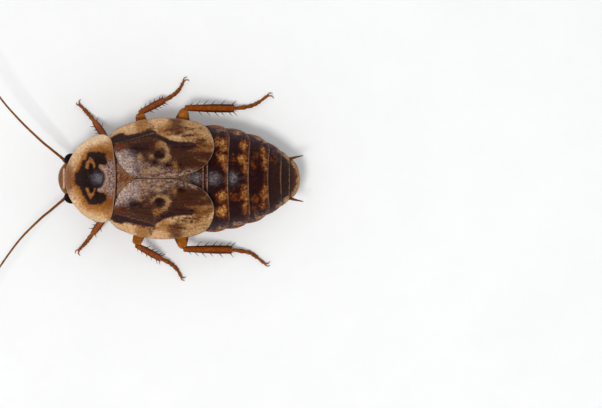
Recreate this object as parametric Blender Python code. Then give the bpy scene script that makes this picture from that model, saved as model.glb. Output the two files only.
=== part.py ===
"""Short-winged discoid roach, standing on its six feet, at life size.

It faces -X, with +Z up and the floor at z = 0. The origin is on the floor under the middle of the
animal's box. Its right side is +Y. Every size and place is in millimetres, and becomes metres once,
when a node is finished.
"""

import math
import random

import bmesh
import bpy
from mathutils import Matrix, Vector

MM = 0.001
GAP = 0.3  # left between two pieces that meet
SIDES = {"right": 1, "left": -1}

# Body length, head to tail, is 25.4. These are stations along X, behind the head.
PRONOTUM_FRONT = -6.77
PRONOTUM_REAR = -1.46
THORAX_FRONT = -5.0
THORAX_REAR = 5.5
TAIL_END = 17.84

# Pronotum, the shield over the head and the first legs. Half outline, front to rear.
PRONOTUM_HALF = [(PRONOTUM_FRONT, 0), (-6.35, 1.85), (-5.3, 3.4), (-4.2, 4.22), (-3.1, 4.6),
                 (-2.25, 4.42), (-1.97, 3.95), (-1.66, 2.5), (PRONOTUM_REAR, 0)]
PRONOTUM_CROWN = 6.75
PRONOTUM_CROWN_X = -2.9
PRONOTUM_WALL = 0.55
PRONOTUM_HALF_WIDTH = 4.6

# Right wing outline seen from above, from its shoulder round the outer edge and back.
WING_OUTLINE = [(-1.92, 4.66), (-1.5, 5.1), (-0.9, 5.44), (1.05, 6.12), (3.6, 6.38), (6.3, 6.08),
                (7.8, 5.42), (8.62, 4.4), (8.8, 3.4), (8.45, 2.1), (7.5, 1.1), (6.0, 0.5), (4.2, 0.16),
                (0.7, 0.16), (-0.3, 0.48), (-0.95, 1.35), (-1.28, 2.7), (-1.66, 4.05)]
WING_HINGE = (-1.15, 3.95)
WING_WALL = 0.5
WING_HALF_WIDTH = 6.38
WING_CROWN = [(-2.1, 5.8), (0, 6.25), (2.5, 6.45), (5, 6.35), (7.35, 6.15), (8.8, 5.95)]
WING_DROP = 2.5
WING_VEIN_HEIGHT = 0.14
WING_VEIN_HALF_WIDTH = 0.17
WING_CORNERS, WING_FINE_CORNERS = 34, 600  # points of the outline, before the veins' own and to find them
# Where each main vein reaches the wing's edge, as (x, y): radius, media, and three of the cubitus.
WING_VEIN_ENDS = [(6.6, 6.0), (8.55, 4.6), (8.78, 3.2), (8.3, 1.9), (6.6, 0.7)]

# Thorax under the shields: half width, side-edge height and belly height along X.
THORAX_WIDTH = [(THORAX_FRONT, 1.0), (-4.3, 2.5), (-2, 3.6), (0, 4.4), (2.5, 4.9), (THORAX_REAR, 4.7)]
THORAX_EDGE = [(THORAX_FRONT, 3.7), (-2, 3.75), (THORAX_REAR, 3.65)]
THORAX_BELLY = [(THORAX_FRONT, 3.0), (-3.5, 2.5), (THORAX_REAR, 2.45)]
THORAX_RINGS = 13

# Abdomen: rear margins of its seven back plates, and its section along X.
PLATE_REARS = [8.05, 10.28, 12.43, 14.48, 15.84, 16.85, TAIL_END]
ABDOMEN_FRONT = THORAX_REAR + GAP
ABDOMEN_WIDTH = [(ABDOMEN_FRONT, 3.9), (6.5, 4.8), (7.4, 5.45), (8.2, 5.5), (9.44, 5.35), (11.54, 4.95),
                 (13.64, 4.25), (14.7, 3.7), (15.84, 3.0), (16.6, 2.25), (17.15, 1.65), (17.55, 1.05)]
ABDOMEN_BACK = [(ABDOMEN_FRONT, 5.05), (8, 5.0), (10.28, 4.85), (12.43, 4.65), (14.48, 4.3),
                (15.84, 3.9), (16.95, 3.4), (TAIL_END, 2.85)]
ABDOMEN_EDGE = [(ABDOMEN_FRONT, 3.55), (8, 3.25), (12.43, 3.0), (15.84, 2.8), (TAIL_END, 2.7)]
ABDOMEN_BELLY = [(ABDOMEN_FRONT, 2.2), (8, 1.65), (10.28, 1.5), (12.43, 1.55), (14.48, 1.75),
                 (15.84, 2.0), (16.95, 2.25), (TAIL_END, 2.55)]
PLATE_STEP = 0.17  # height of each plate's rear margin over the next plate
PLATE_LIP = 0.1  # length of that step

# Head, hanging face down: (height, half width, front, back) from the mouth up.
HEAD_LEVELS = [(0.98, 0.45, -6.85, -6.4), (1.25, 0.8, -6.98, -6.2), (1.7, 1.15, -7.08, -5.95),
               (2.2, 1.5, -7.25, -5.7), (2.8, 1.78, -7.43, -5.5), (3.3, 1.9, -7.52, -5.4),
               (3.75, 1.85, -7.46, -5.42), (4.1, 1.6, -7.3, -5.55), (4.3, 1.25, -7.1, -5.7),
               (4.4, 0.8, -6.9, -5.95)]
EYE_CENTRE = (-6.18, 1.95, 3.65)
EYE_RADII = (0.74, 0.68, 0.8)
LABRUM_CENTRE, LABRUM_RADII = (-6.98, 0, 1.3), (0.22, 0.52, 0.42)
MANDIBLE_CENTRE, MANDIBLE_RADII = (-6.68, 0.6, 1.2), (0.42, 0.36, 0.46)
SOCKET_RADIUS = 0.36
PALP_PATH = [(-6.35, 1.0, 1.75), (-6.65, 1.4, 1.35), (-6.85, 1.45, 0.85), (-6.7, 1.15, 0.45)]
PALP_RADIUS = 0.25

# Antennae, root to tip. Each is as long as three quarters of the body.
ANTENNA_PATHS = {
    "right": [(-7.02, 1.68, 2.72), (-7.3, 2.12, 2.86), (-8.39, 3.15, 3.35), (-9.44, 4.04, 3.7),
              (-11.54, 6.09, 4.25), (-13.64, 8.55, 4.6), (-15.5, 11.6, 4.65), (-17.1, 14.55, 4.4),
              (-18.12, 17.0, 3.9)],
    "left": [(-6.98, -1.7, 2.72), (-7.24, -2.18, 2.86), (-8.39, -3.36, 3.35), (-9.44, -4.25, 3.7),
             (-11.54, -6.4, 4.25), (-13.64, -9.29, 4.6), (-15.55, -12.3, 4.65), (-17.1, -15.1, 4.4),
             (-18.12, -17.0, 3.9)],
}
SCAPE_LENGTH = 0.85
SCAPE_RADIUS = 0.3
ANTENNA_RADIUS = 0.25
ANTENNA_TIP_RADIUS = 0.1
ANTENNA_POINTS = 34

# Cerci, the two feelers at the tail.
CERCUS_ROOT, CERCUS_TIP = (16.3, 1.95, 2.85), (18.19, 2.42, 3.0)
CERCUS_RADIUS = 0.27

# Legs: joints and foot as points for each leg, on its own side of the body.
LEG_POINTS = {
    "front_right": {"hip": (-3.2, 0.65, 2.05), "trochanter": (-4.2, 1.95, 1.7), "knee": (-2.41, 4.04, 2.7),
                    "ankle": (-3.9, 6.04, 0.75),
                    "foot": [(-4.23, 6.46, 0.42), (-4.67, 6.96, 0.21), (-5.08, 7.41, 0.2),
                             (-5.45, 7.78, 0.2)],
                    "claws": [(-5.83, 8.1, 0.14), (-5.35, 8.42, 0.14)]},
    "front_left": {"hip": (-3.2, -0.65, 2.05), "trochanter": (-4.2, -1.95, 1.7), "knee": (-2.52, -3.85, 2.7),
                   "ankle": (-4.06, -5.79, 0.75),
                   "foot": [(-4.44, -6.27, 0.42), (-4.87, -6.82, 0.21), (-5.27, -7.23, 0.2),
                            (-5.51, -7.51, 0.2)],
                   "claws": [(-5.96, -7.94, 0.14), (-5.42, -8.15, 0.14)]},
    "mid_right": {"hip": (-0.55, 0.7, 1.95), "trochanter": (1.9, 2.75, 1.55), "knee": (0.95, 6.9, 2.85),
                  "ankle": (3.46, 8.29, 0.75),
                  "foot": [(4.14, 8.64, 0.4), (4.75, 9.11, 0.21), (5.2, 9.66, 0.2), (5.42, 10.15, 0.2)],
                  "claws": [(5.93, 10.81, 0.14), (6.15, 10.39, 0.14)]},
    "mid_left": {"hip": (-0.55, -0.7, 1.95), "trochanter": (1.9, -2.75, 1.55), "knee": (0.59, -6.99, 2.85),
                 "ankle": (3.15, -8.46, 0.75),
                 "foot": [(3.82, -8.78, 0.4), (4.44, -9.22, 0.21), (4.93, -9.77, 0.2), (5.22, -10.32, 0.2)],
                 "claws": [(5.78, -10.35, 0.14), (5.64, -10.77, 0.14)]},
    "hind_right": {"hip": (2.6, 0.75, 1.95), "trochanter": (4.9, 2.85, 1.5), "knee": (5.68, 7.43, 2.75),
                   "ankle": (10.92, 7.43, 0.8),
                   "foot": [(11.97, 7.55, 0.4), (12.81, 7.76, 0.21), (13.66, 8.22, 0.2), (14.31, 8.73, 0.2)],
                   "claws": [(14.96, 9.02, 0.14), (15.08, 8.49, 0.14)]},
    "hind_left": {"hip": (2.6, -0.75, 1.95), "trochanter": (4.9, -2.85, 1.5), "knee": (5.53, -7.41, 2.75),
                  "ankle": (10.71, -7.51, 0.8),
                  "foot": [(11.76, -7.67, 0.4), (12.6, -7.87, 0.21), (13.39, -8.41, 0.2),
                           (14.03, -8.94, 0.2)],
                  "claws": [(14.68, -8.71, 0.14), (14.7, -9.2, 0.14)]},
}
# Thickness of each pair: (across, deep) half sizes at even steps from root to end.
LEG_SHAPES = {
    "front": {"coxa": [(0.5, 0.42), (0.62, 0.46), (0.42, 0.38)],
              "femur": [(0.34, 0.32), (0.5, 0.42), (0.46, 0.38), (0.3, 0.3)],
              "tibia": [(0.27, 0.26), (0.32, 0.29), (0.32, 0.28), (0.28, 0.26)]},
    "mid": {"coxa": [(0.6, 0.45), (0.78, 0.5), (0.48, 0.4)],
            "femur": [(0.4, 0.36), (0.56, 0.46), (0.62, 0.44), (0.38, 0.34)],
            "tibia": [(0.27, 0.27), (0.31, 0.3), (0.32, 0.31), (0.31, 0.28)]},
    "hind": {"coxa": [(0.65, 0.48), (0.85, 0.52), (0.55, 0.42)],
             "femur": [(0.46, 0.4), (0.74, 0.5), (0.82, 0.5), (0.38, 0.36)],
             "tibia": [(0.3, 0.29), (0.36, 0.33), (0.4, 0.35), (0.4, 0.33)]},
}
FOOT_SEGMENTS = 5
FOOT_RADII = [0.25, 0.25, 0.26, 0.28]
CLAW_RADIUS = 0.16
CLAW_BOW = 0.14  # how far the middle of a claw stands to one side of its chord

# Spines on each tibia: how many on its front and its rear edge, and their mean length.
SPINES = {"front": (4, 4, 0.6), "mid": (6, 6, 0.66), "hind": (6, 7, 0.82)}
SPINE_SPAN = (0.2, 0.88)  # where a row starts and ends, as shares of the tibia
SPINE_RADIUS = 0.19
SPINE_TIP_RADIUS = 0.05
SPINE_LEAN = math.radians(48)  # between a spine and its tibia

# (colour as linear RGB, roughness) by material name.
FINISHES = {
    "pronotum": ((0.55, 0.28, 0.10), 0.35),
    "wing": ((0.16, 0.07, 0.035), 0.4),
    "thorax": ((0.20, 0.08, 0.035), 0.45),
    "abdomen": ((0.07, 0.03, 0.018), 0.35),
    "head": ((0.24, 0.10, 0.035), 0.3),
    "eye": ((0.012, 0.008, 0.008), 0.12),
    "leg": ((0.26, 0.075, 0.018), 0.4),
    "antenna": ((0.17, 0.06, 0.02), 0.45),
}


def clear_scene():
    for old in list(bpy.data.objects):
        bpy.data.objects.remove(old, do_unlink=True)


def profile(points, x):
    """Smooth value at x through a short list of (x, value), with no overshoot between them."""
    if x <= points[0][0]:
        return points[0][1]
    if x >= points[-1][0]:
        return points[-1][1]
    rises = [(b[1] - a[1]) / (b[0] - a[0]) for a, b in zip(points, points[1:])]
    slopes = [rises[0]]
    for before, after in zip(rises, rises[1:]):
        slopes.append(0 if before * after <= 0 else 2 * before * after / (before + after))
    slopes.append(rises[-1])
    i = max(k for k in range(len(points) - 1) if points[k][0] <= x)
    span = points[i + 1][0] - points[i][0]
    t = (x - points[i][0]) / span
    return (points[i][1] * (2 * t**3 - 3 * t**2 + 1) + slopes[i] * span * (t**3 - 2 * t**2 + t)
            + points[i + 1][1] * (3 * t**2 - 2 * t**3) + slopes[i + 1] * span * (t**3 - t**2))


def smooth_path(points, count, closed=False):
    """count points, evenly spaced, on a Catmull-Rom curve through points of two or three numbers."""
    given = [Vector(p) for p in points]
    n = len(given)
    if closed:
        given = [given[-1], *given, given[0], given[1]]
    else:
        given = [2 * given[0] - given[1], *given, 2 * given[-1] - given[-2]]
    fine = []
    spans = n if closed else n - 1
    steps = 24
    for i in range(spans):
        a, b, c, d = given[i:i + 4]
        for k in range(steps):
            t = k / steps
            fine.append(0.5 * (2 * b + (c - a) * t + (2 * a - 5 * b + 4 * c - d) * t**2
                               + (3 * b - a - 3 * c + d) * t**3))
    fine.append(given[spans + 1])
    lengths = [0.0]
    for a, b in zip(fine, fine[1:]):
        lengths.append(lengths[-1] + (b - a).length)
    wanted = [lengths[-1] * k / (count if closed else count - 1) for k in range(count)]
    found, i = [], 0
    for s in wanted:
        while i < len(fine) - 2 and lengths[i + 1] < s:
            i += 1
        share = (s - lengths[i]) / (lengths[i + 1] - lengths[i])
        found.append(fine[i].lerp(fine[i + 1], share))
    return found


def mesh_object(name, verts, faces):
    mesh = bpy.data.meshes.new(name)
    mesh.from_pydata([tuple(v) for v in verts], [], faces)
    shape = bmesh.new()
    shape.from_mesh(mesh)
    bmesh.ops.recalc_face_normals(shape, faces=shape.faces)
    shape.to_mesh(mesh)
    shape.free()
    obj = bpy.data.objects.new(name, mesh)
    bpy.context.scene.collection.objects.link(obj)
    return obj


def loft(name, rings):
    """A closed skin through rings of equal length, each end closed by a fan to its middle."""
    sides = len(rings[0])
    verts = [p for ring in rings for p in ring]
    faces = []
    for r in range(len(rings) - 1):
        for k in range(sides):
            a, b = r * sides + k, r * sides + (k + 1) % sides
            faces.append((a, b, b + sides, a + sides))
    for r in (0, len(rings) - 1):
        verts.append(sum(rings[r], Vector()) / sides)
        faces += [(r * sides + k, r * sides + (k + 1) % sides, len(verts) - 1) for k in range(sides)]
    return mesh_object(name, verts, faces)


def ellipsoid(name, centre, radii, around=12, levels=8):
    rings = []
    for i in range(1, levels):
        polar = math.pi * i / levels
        rings.append([Vector((centre[0] + radii[0] * math.sin(polar) * math.cos(2 * math.pi * k / around),
                              centre[1] + radii[1] * math.sin(polar) * math.sin(2 * math.pi * k / around),
                              centre[2] + radii[2] * math.cos(polar))) for k in range(around)])
    obj = loft(name, rings)
    for vertex, sign in zip(obj.data.vertices[-2:], (1, -1)):
        vertex.co.z = centre[2] + sign * radii[2]
    return obj


def tube_rings(path, sizes, sides, start_plane=None, end_plane=None):
    """Rings round path. sizes holds (across, deep) half sizes; an end ring is slid onto its plane's normal.
    No ring reaches under the floor, and a ring has two corners at its lowest level, so a foot is flat."""
    rings = []
    last = len(path) - 1
    for i, point in enumerate(path):
        ahead = (path[min(i + 1, last)] - path[max(i - 1, 0)]).normalized()
        side = ahead.cross(Vector((0, 0, 1))).normalized()
        up = side.cross(ahead)
        plane = start_plane if i == 0 else end_plane if i == last else None
        ring = []
        for k in range(sides):
            angle = 2 * math.pi * (k + 0.5) / sides - math.pi / 2
            corner = point + side * sizes[i][0] * math.cos(angle) + up * sizes[i][1] * math.sin(angle)
            if plane is not None:
                corner -= ahead * ((corner - point).dot(plane) / ahead.dot(plane))
            corner.z = max(corner.z, 0.0)
            ring.append(corner)
        rings.append(ring)
    return rings


def sized(sizes, count):
    """(across, deep) at count even steps, smoothly through the few that are given."""
    share = [i / (len(sizes) - 1) for i in range(len(sizes))]
    across = [(s, size[0]) for s, size in zip(share, sizes)]
    deep = [(s, size[1]) for s, size in zip(share, sizes)]
    return [(profile(across, i / (count - 1)), profile(deep, i / (count - 1))) for i in range(count)]


def apply_boolean(obj, operation, pieces):
    """One Boolean of obj with all the pieces, which are then removed."""
    tools = bpy.data.collections.new(obj.name + "_tools")
    for piece in pieces:
        tools.objects.link(piece)
    modifier = obj.modifiers.new("join", "BOOLEAN")
    modifier.operation = operation
    modifier.operand_type = "COLLECTION"
    modifier.collection = tools
    modifier.solver = "EXACT"
    graph = bpy.context.evaluated_depsgraph_get()
    joined = bpy.data.meshes.new_from_object(obj.evaluated_get(graph))
    obj.modifiers.clear()
    obj.data = joined
    for piece in pieces:
        bpy.data.objects.remove(piece, do_unlink=True)
    bpy.data.collections.remove(tools)
    keep_largest_surface(obj)


def keep_largest_surface(obj):
    shape = bmesh.new()
    shape.from_mesh(obj.data)
    unseen = set(shape.faces)
    surfaces = []
    while unseen:
        surface, front = set(), [unseen.pop()]
        while front:
            face = front.pop()
            surface.add(face)
            for edge in face.edges:
                for other in edge.link_faces:
                    if other in unseen:
                        unseen.remove(other)
                        front.append(other)
        surfaces.append(surface)
    largest = max(surfaces, key=lambda faces: sum(face.calc_area() for face in faces))
    bmesh.ops.delete(shape, geom=[f for f in shape.faces if f not in largest], context="FACES")
    bmesh.ops.triangulate(shape, faces=shape.faces)
    shape.to_mesh(obj.data)
    shape.free()


def finish(obj, finish_name):
    """Turns millimetres into metres and gives the node its material and smooth shading."""
    obj.data.transform(Matrix.Scale(MM, 4))
    material = bpy.data.materials.get(finish_name)
    if material is None:
        colour, roughness = FINISHES[finish_name]
        material = bpy.data.materials.new(finish_name)
        material.use_nodes = True
        shader = material.node_tree.nodes["Principled BSDF"]
        shader.inputs["Base Color"].default_value = (*colour, 1)
        shader.inputs["Roughness"].default_value = roughness
        shader.inputs["Metallic"].default_value = 0.0
    obj.data.materials.clear()
    obj.data.materials.append(material)
    obj.data.shade_smooth()
    obj.data.set_sharp_from_angle(angle=math.radians(40))
    return obj


def pronotum_top(x, y):
    ahead = max(PRONOTUM_CROWN_X - x, 0) / (PRONOTUM_CROWN_X - PRONOTUM_FRONT)
    behind = max(x - PRONOTUM_CROWN_X, 0) / (PRONOTUM_REAR - PRONOTUM_CROWN_X)
    beside = abs(y) / PRONOTUM_HALF_WIDTH
    return PRONOTUM_CROWN - 1.45 * ahead**2 - 0.3 * behind**2 - 2.1 * beside**2.3


def wing_top(x, y):
    return profile(WING_CROWN, x) - WING_DROP * (abs(y) / WING_HALF_WIDTH) ** 2.3


def plate(name, middle, outline, top_shares, top, wall):
    """A domed plate of even wall over a closed outline. top_shares says how far out its rings lie, and
    top gives the upper surface's height from a point, its place in the outline and its share."""
    middle = Vector(middle)
    under_shares = [0.35, 0.7, 0.93]
    rim_drop = 0.2 * wall
    rings = []
    for share in top_shares:
        rings.append([(*middle.lerp(p, share), top(middle.lerp(p, share), k, share))
                      for k, p in enumerate(outline)])
    rings.append([(*p, top(p, k, 1.0) - rim_drop) for k, p in enumerate(outline)])
    rings.append([(*p, top(p, None, 1.0) - wall + rim_drop) for p in outline])
    for share in reversed(under_shares):
        rings.append([(*middle.lerp(p, share), top(middle.lerp(p, share), None, share) - wall)
                      for p in outline])
    obj = loft(name, [[Vector(p) for p in ring] for ring in rings])
    poles = obj.data.vertices[-2:]
    poles[0].co = (*middle, top(middle, None, 0.0))
    poles[1].co = (*middle, top(middle, None, 0.0) - wall)
    return obj


def build_pronotum():
    left_half = [(x, -y) for x, y in reversed(PRONOTUM_HALF[1:-1])]
    outline = smooth_path([*PRONOTUM_HALF, *left_half], 40, closed=True)
    obj = plate("pronotum", (PRONOTUM_CROWN_X - 0.6, 0), outline, [0.25, 0.48, 0.7, 0.86, 0.96],
                lambda p, k, share: pronotum_top(p.x, p.y), PRONOTUM_WALL)
    finish(obj, "pronotum")


def build_wing(side):
    """A plate whose rings run out from the hinge, so that each main vein is one raised line of it."""
    hinge = Vector(WING_HINGE)
    fine = smooth_path(WING_OUTLINE, WING_FINE_CORNERS, closed=True)
    spacing = (fine[1] - fine[0]).length
    reach = round(WING_VEIN_HALF_WIDTH / spacing)
    places = {round(i * WING_FINE_CORNERS / WING_CORNERS) for i in range(WING_CORNERS)}
    veins = []
    for end in WING_VEIN_ENDS:
        nearest = min(range(WING_FINE_CORNERS), key=lambda i: (fine[i] - Vector(end)).length)
        places = {i for i in places if abs(i - nearest) > 1.6 * reach}
        veins.append(nearest)
        places |= {nearest - reach, nearest, nearest + reach}
    order = sorted(places)
    outline = [fine[i] for i in order]
    raised = {order.index(v) for v in veins}

    def top(point, k, share):
        swell = WING_VEIN_HEIGHT * min(1.0, 3 * share) if k in raised and share < 1 else 0.0
        return wing_top(point.x, point.y) + swell

    obj = plate("wing_" + side, hinge, outline, [0.1, 0.25, 0.42, 0.6, 0.78, 0.92], top, WING_WALL)
    if side == "left":
        obj.data.transform(Matrix.Scale(-1, 4, (0, 1, 0)))
        obj.data.flip_normals()
    finish(obj, "wing")


def body_ring(x, half_width, back, edge, belly, squareness, grow=0.0, count=32):
    """A section across the body: back and belly give the heights at y, meeting at the side edges."""
    ring = []
    for k in range(count):
        angle = 2 * math.pi * k / count
        across = math.cos(angle)
        y = half_width * across
        fill = (1 - abs(across) ** squareness) ** 0.75
        limit = back(x, y) if math.sin(angle) >= 0 else belly
        z = edge + (limit - edge) * fill
        if grow:
            y += grow * across
            z += grow * math.sin(angle)
        ring.append(Vector((x, y, z)))
    return ring


def thorax_roof(x, y):
    """Height of the thorax's back, one gap below the shield or the wings that cover it."""
    under_shield = pronotum_top(x, y) - PRONOTUM_WALL - GAP
    under_wing = wing_top(x, y) - WING_WALL - GAP
    if x < PRONOTUM_REAR - 0.4:
        return under_shield
    if x > PRONOTUM_REAR + 0.6:
        return under_wing
    return min(under_shield, under_wing)


def thorax_skin(name, grow=0.0):
    last = THORAX_RINGS - 1
    rings = []
    for i in range(THORAX_RINGS):
        x = THORAX_FRONT + (THORAX_REAR - THORAX_FRONT) * i / last
        placed = x + (grow if i == last else -grow if i == 0 else 0)
        ring = body_ring(x, profile(THORAX_WIDTH, x), thorax_roof, profile(THORAX_EDGE, x),
                         profile(THORAX_BELLY, x), 4.0, grow, 28)
        rings.append([Vector((placed, p.y, p.z)) for p in ring])
    return loft(name, rings)


def abdomen_skin(name, grow=0.0):
    """Seven back plates, each raised at its rear margin over the front of the next."""
    rings = []
    front = ABDOMEN_FRONT
    for rear in PLATE_REARS:
        for share in (0.0, 0.4, 0.8, 1.0):
            start = front + (PLATE_LIP if front > ABDOMEN_FRONT else 0)
            x = start + (rear - start) * share
            if x > ABDOMEN_WIDTH[-1][0] and share == 1.0:
                continue
            lift = 0 if grow else PLATE_STEP * share**1.5
            half_width = profile(ABDOMEN_WIDTH, x) + lift * 0.9
            rings.append(body_ring(x, half_width, lambda at, y: profile(ABDOMEN_BACK, at) + lift,
                                   profile(ABDOMEN_EDGE, x), profile(ABDOMEN_BELLY, x) - lift * 0.4,
                                   2.4, grow))
        front = rear
    tail = rings[-1]
    centre = sum(tail, Vector()) / len(tail)
    for share, shrink in ((0.55, 0.75), (0.9, 0.4)):
        x = tail[0].x + (TAIL_END + grow - tail[0].x) * share
        rings.append([Vector((x, *(centre.lerp(p, shrink)).yz)) for p in tail])
    obj = loft(name, rings)
    obj.data.vertices[-1].co = (TAIL_END + grow, 0, centre.z)
    return obj


def head_skin(name, grow=0.0):
    rings = []
    for height, half_width, front, back in HEAD_LEVELS:
        middle, depth = (front + back) / 2, (back - front) / 2
        ring = []
        for k in range(24):
            angle = 2 * math.pi * k / 24
            ring.append(Vector((
                middle + (depth + grow) * math.copysign(abs(math.cos(angle)) ** 0.85, math.cos(angle)),
                (half_width + grow) * math.copysign(abs(math.sin(angle)) ** 0.85, math.sin(angle)),
                height + grow * (2 * (height - 0.98) / (4.4 - 0.98) - 1))))
        rings.append(ring)
    return loft(name, rings)


def build_head():
    """The head, with its upper lip, jaws and feeler sockets, hollowed where the eyes sit."""
    head = head_skin("head")
    pieces = [ellipsoid("labrum", LABRUM_CENTRE, LABRUM_RADII)]
    for sign in SIDES.values():
        x, y, z = MANDIBLE_CENTRE
        pieces.append(ellipsoid("mandible", (x, sign * y, z), MANDIBLE_RADII))
    for side, sign in SIDES.items():
        path = smooth_path(ANTENNA_PATHS[side], 60)
        ahead = (path[1] - path[0]).normalized()
        rim = [path[0] - ahead * 0.6, path[0] - ahead * 0.02]
        pieces.append(loft("socket", tube_rings(rim, [(SOCKET_RADIUS, SOCKET_RADIUS)] * 2, 10)))
    apply_boolean(head, "UNION", pieces)
    hollows = [ellipsoid("hollow", (EYE_CENTRE[0], sign * EYE_CENTRE[1], EYE_CENTRE[2]),
                         [r + GAP for r in EYE_RADII]) for sign in SIDES.values()]
    apply_boolean(head, "DIFFERENCE", hollows)
    finish(head, "head")
    for side, sign in SIDES.items():
        centre = (EYE_CENTRE[0], sign * EYE_CENTRE[1], EYE_CENTRE[2])
        finish(ellipsoid("eye_" + side, centre, EYE_RADII, 14, 9), "eye")


def build_palps():
    for side, sign in SIDES.items():
        path = [Vector((p.x, sign * p.y, p.z)) for p in smooth_path(PALP_PATH, 10)]
        swell = [PALP_RADIUS * (1 + 0.12 * math.cos(math.pi * i)) for i in range(10)]
        palp = loft("palp_" + side, tube_rings(path, [(r, r) for r in swell], 8))
        apply_boolean(palp, "DIFFERENCE", [head_skin("clearance", GAP)])
        finish(palp, "head")


def build_antenna(side):
    """A scape and two lengths of the whip, end to end with a gap between."""
    path = smooth_path(ANTENNA_PATHS[side], 200)
    length = sum((b - a).length for a, b in zip(path, path[1:]))
    step = length / (len(path) - 1)
    whip_start = SCAPE_LENGTH + GAP
    middle = whip_start + 0.46 * (length - whip_start)
    spans = [("scape", GAP, SCAPE_LENGTH, 5), ("whip", whip_start, middle, ANTENNA_POINTS // 2),
             ("tip", middle + GAP, length, ANTENNA_POINTS // 2)]
    for part, start, end, count in spans:
        points, sizes = [], []
        for i in range(count):
            s = start + (end - start) * i / (count - 1)
            points.append(path[min(round(s / step), len(path) - 1)])
            radius = SCAPE_RADIUS if part == "scape" else ANTENNA_RADIUS
            if part == "tip":
                radius = profile([(0, ANTENNA_RADIUS), (0.7, ANTENNA_RADIUS * 0.9), (1, ANTENNA_TIP_RADIUS)],
                                 i / (count - 1))
            sizes.append((radius, radius))
        piece = loft(f"antenna_{side}_{part}", tube_rings(points, sizes, 8))
        finish(piece, "antenna")


def build_cercus(side):
    sign = SIDES[side]
    root, tip = Vector(CERCUS_ROOT), Vector(CERCUS_TIP)
    path = [root.lerp(tip, i / 5) for i in range(6)]
    path = [Vector((p.x, sign * p.y, p.z)) for p in path]
    sizes = [(CERCUS_RADIUS * (1 - 0.12 * i),) * 2 for i in range(5)] + [(0.09, 0.09)]
    cercus = loft("cercus_" + side, tube_rings(path, sizes, 8))
    apply_boolean(cercus, "DIFFERENCE", [abdomen_skin("clearance", GAP)])
    finish(cercus, "abdomen")


def joint_plane(before, joint, after):
    """Normal of the plane that halves the bend at a joint."""
    return ((joint - before).normalized() + (after - joint).normalized()).normalized()


def shortened(start, end, start_plane, end_plane):
    """The straight run from start to end, stopped half a gap short of each plane it is given."""
    ahead = (end - start).normalized()
    if start_plane is not None:
        start = start + ahead * (GAP / 2 / ahead.dot(start_plane))
    if end_plane is not None:
        end = end - ahead * (GAP / 2 / ahead.dot(end_plane))
    return start, end


def limb(name, start, end, start_plane, end_plane, sizes, sides, count):
    start, end = shortened(start, end, start_plane, end_plane)
    path = [start.lerp(end, i / (count - 1)) for i in range(count)]
    return loft(name, tube_rings(path, sized(sizes, count), sides, start_plane, end_plane))


def spine(root, direction, length, radius):
    side = direction.orthogonal().normalized()
    up = direction.cross(side)
    rings = []
    for along, size in ((0, radius), (1, SPINE_TIP_RADIUS)):
        rings.append([root + direction * length * along
                      + (side * math.cos(a) + up * math.sin(a)) * size
                      for a in (2 * math.pi * k / 5 for k in range(5))])
    return loft("spine", rings)


def tibia_spines(pair, knee, ankle, draw):
    """Two rows that lean towards the foot, and three spurs at the end, each sunk in the tibia."""
    ahead = (ankle - knee).normalized()
    across = ahead.cross(Vector((0, 0, 1))).normalized()
    front_count, rear_count, length = SPINES[pair]
    sizes = LEG_SHAPES[pair]["tibia"]
    pieces = []
    for sign, count in ((1, front_count), (-1, rear_count)):
        for i in range(count):
            offset = 0.25 if sign > 0 else 0.0
            share = SPINE_SPAN[0] + (SPINE_SPAN[1] - SPINE_SPAN[0]) * (i + offset) / (count - 0.75)
            depth = sized(sizes, 11)[round(share * 10)][0]
            outward = across * sign + Vector((0, 0, 0.22 * (-1) ** i))
            lean = (ahead * math.cos(SPINE_LEAN) + outward.normalized() * math.sin(SPINE_LEAN)).normalized()
            root = knee.lerp(ankle, share) + across * sign * 0.35 * depth
            pieces.append(spine(root, lean, length * draw.uniform(0.85, 1.1) + 0.65 * depth, SPINE_RADIUS))
    for angle in (-1.0, 0.15, 1.1):
        lean = (ahead * 0.9 + across * math.sin(angle) * 0.75).normalized()
        root = knee.lerp(ankle, 0.93) + across * math.sin(angle) * 0.12
        pieces.append(spine(root, lean, length * 0.85, SPINE_RADIUS))
    return pieces


def build_foot(name, ankle, points, claws, start_plane, turn):
    """Five small segments on the floor, the last with two claws that both bow to the side that turn says."""
    count = FOOT_SEGMENTS * 3
    path = smooth_path([ankle, *points], count)
    path[0], _ = shortened(path[0], path[1], start_plane, None)
    sizes = []
    for i in range(count):
        radius = profile([(k / 3, r) for k, r in enumerate(FOOT_RADII)], i / (count - 1))
        sizes.append((radius * (1.08 if i % 3 == 2 else 0.97),) * 2)
    foot = loft(name, tube_rings(path, sizes, 8, start_plane))
    ahead = (path[-1] - path[-2]).normalized()
    pieces = []
    for tip in claws:
        root = path[-1] - ahead * 0.12
        chord = (tip - root).normalized()
        bow = Vector((-chord.y, chord.x, 0)) * turn * CLAW_BOW
        bend = root.lerp(tip, 0.55) + bow + Vector((0, 0, 0.16))
        hook = smooth_path([root, bend, tip], 5)
        hook_sizes = [(CLAW_RADIUS * (1 - 0.17 * i),) * 2 for i in range(5)]
        pieces.append(loft("claw", tube_rings(hook, hook_sizes, 6)))
    apply_boolean(foot, "UNION", pieces)
    finish(foot, "leg")


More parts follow.
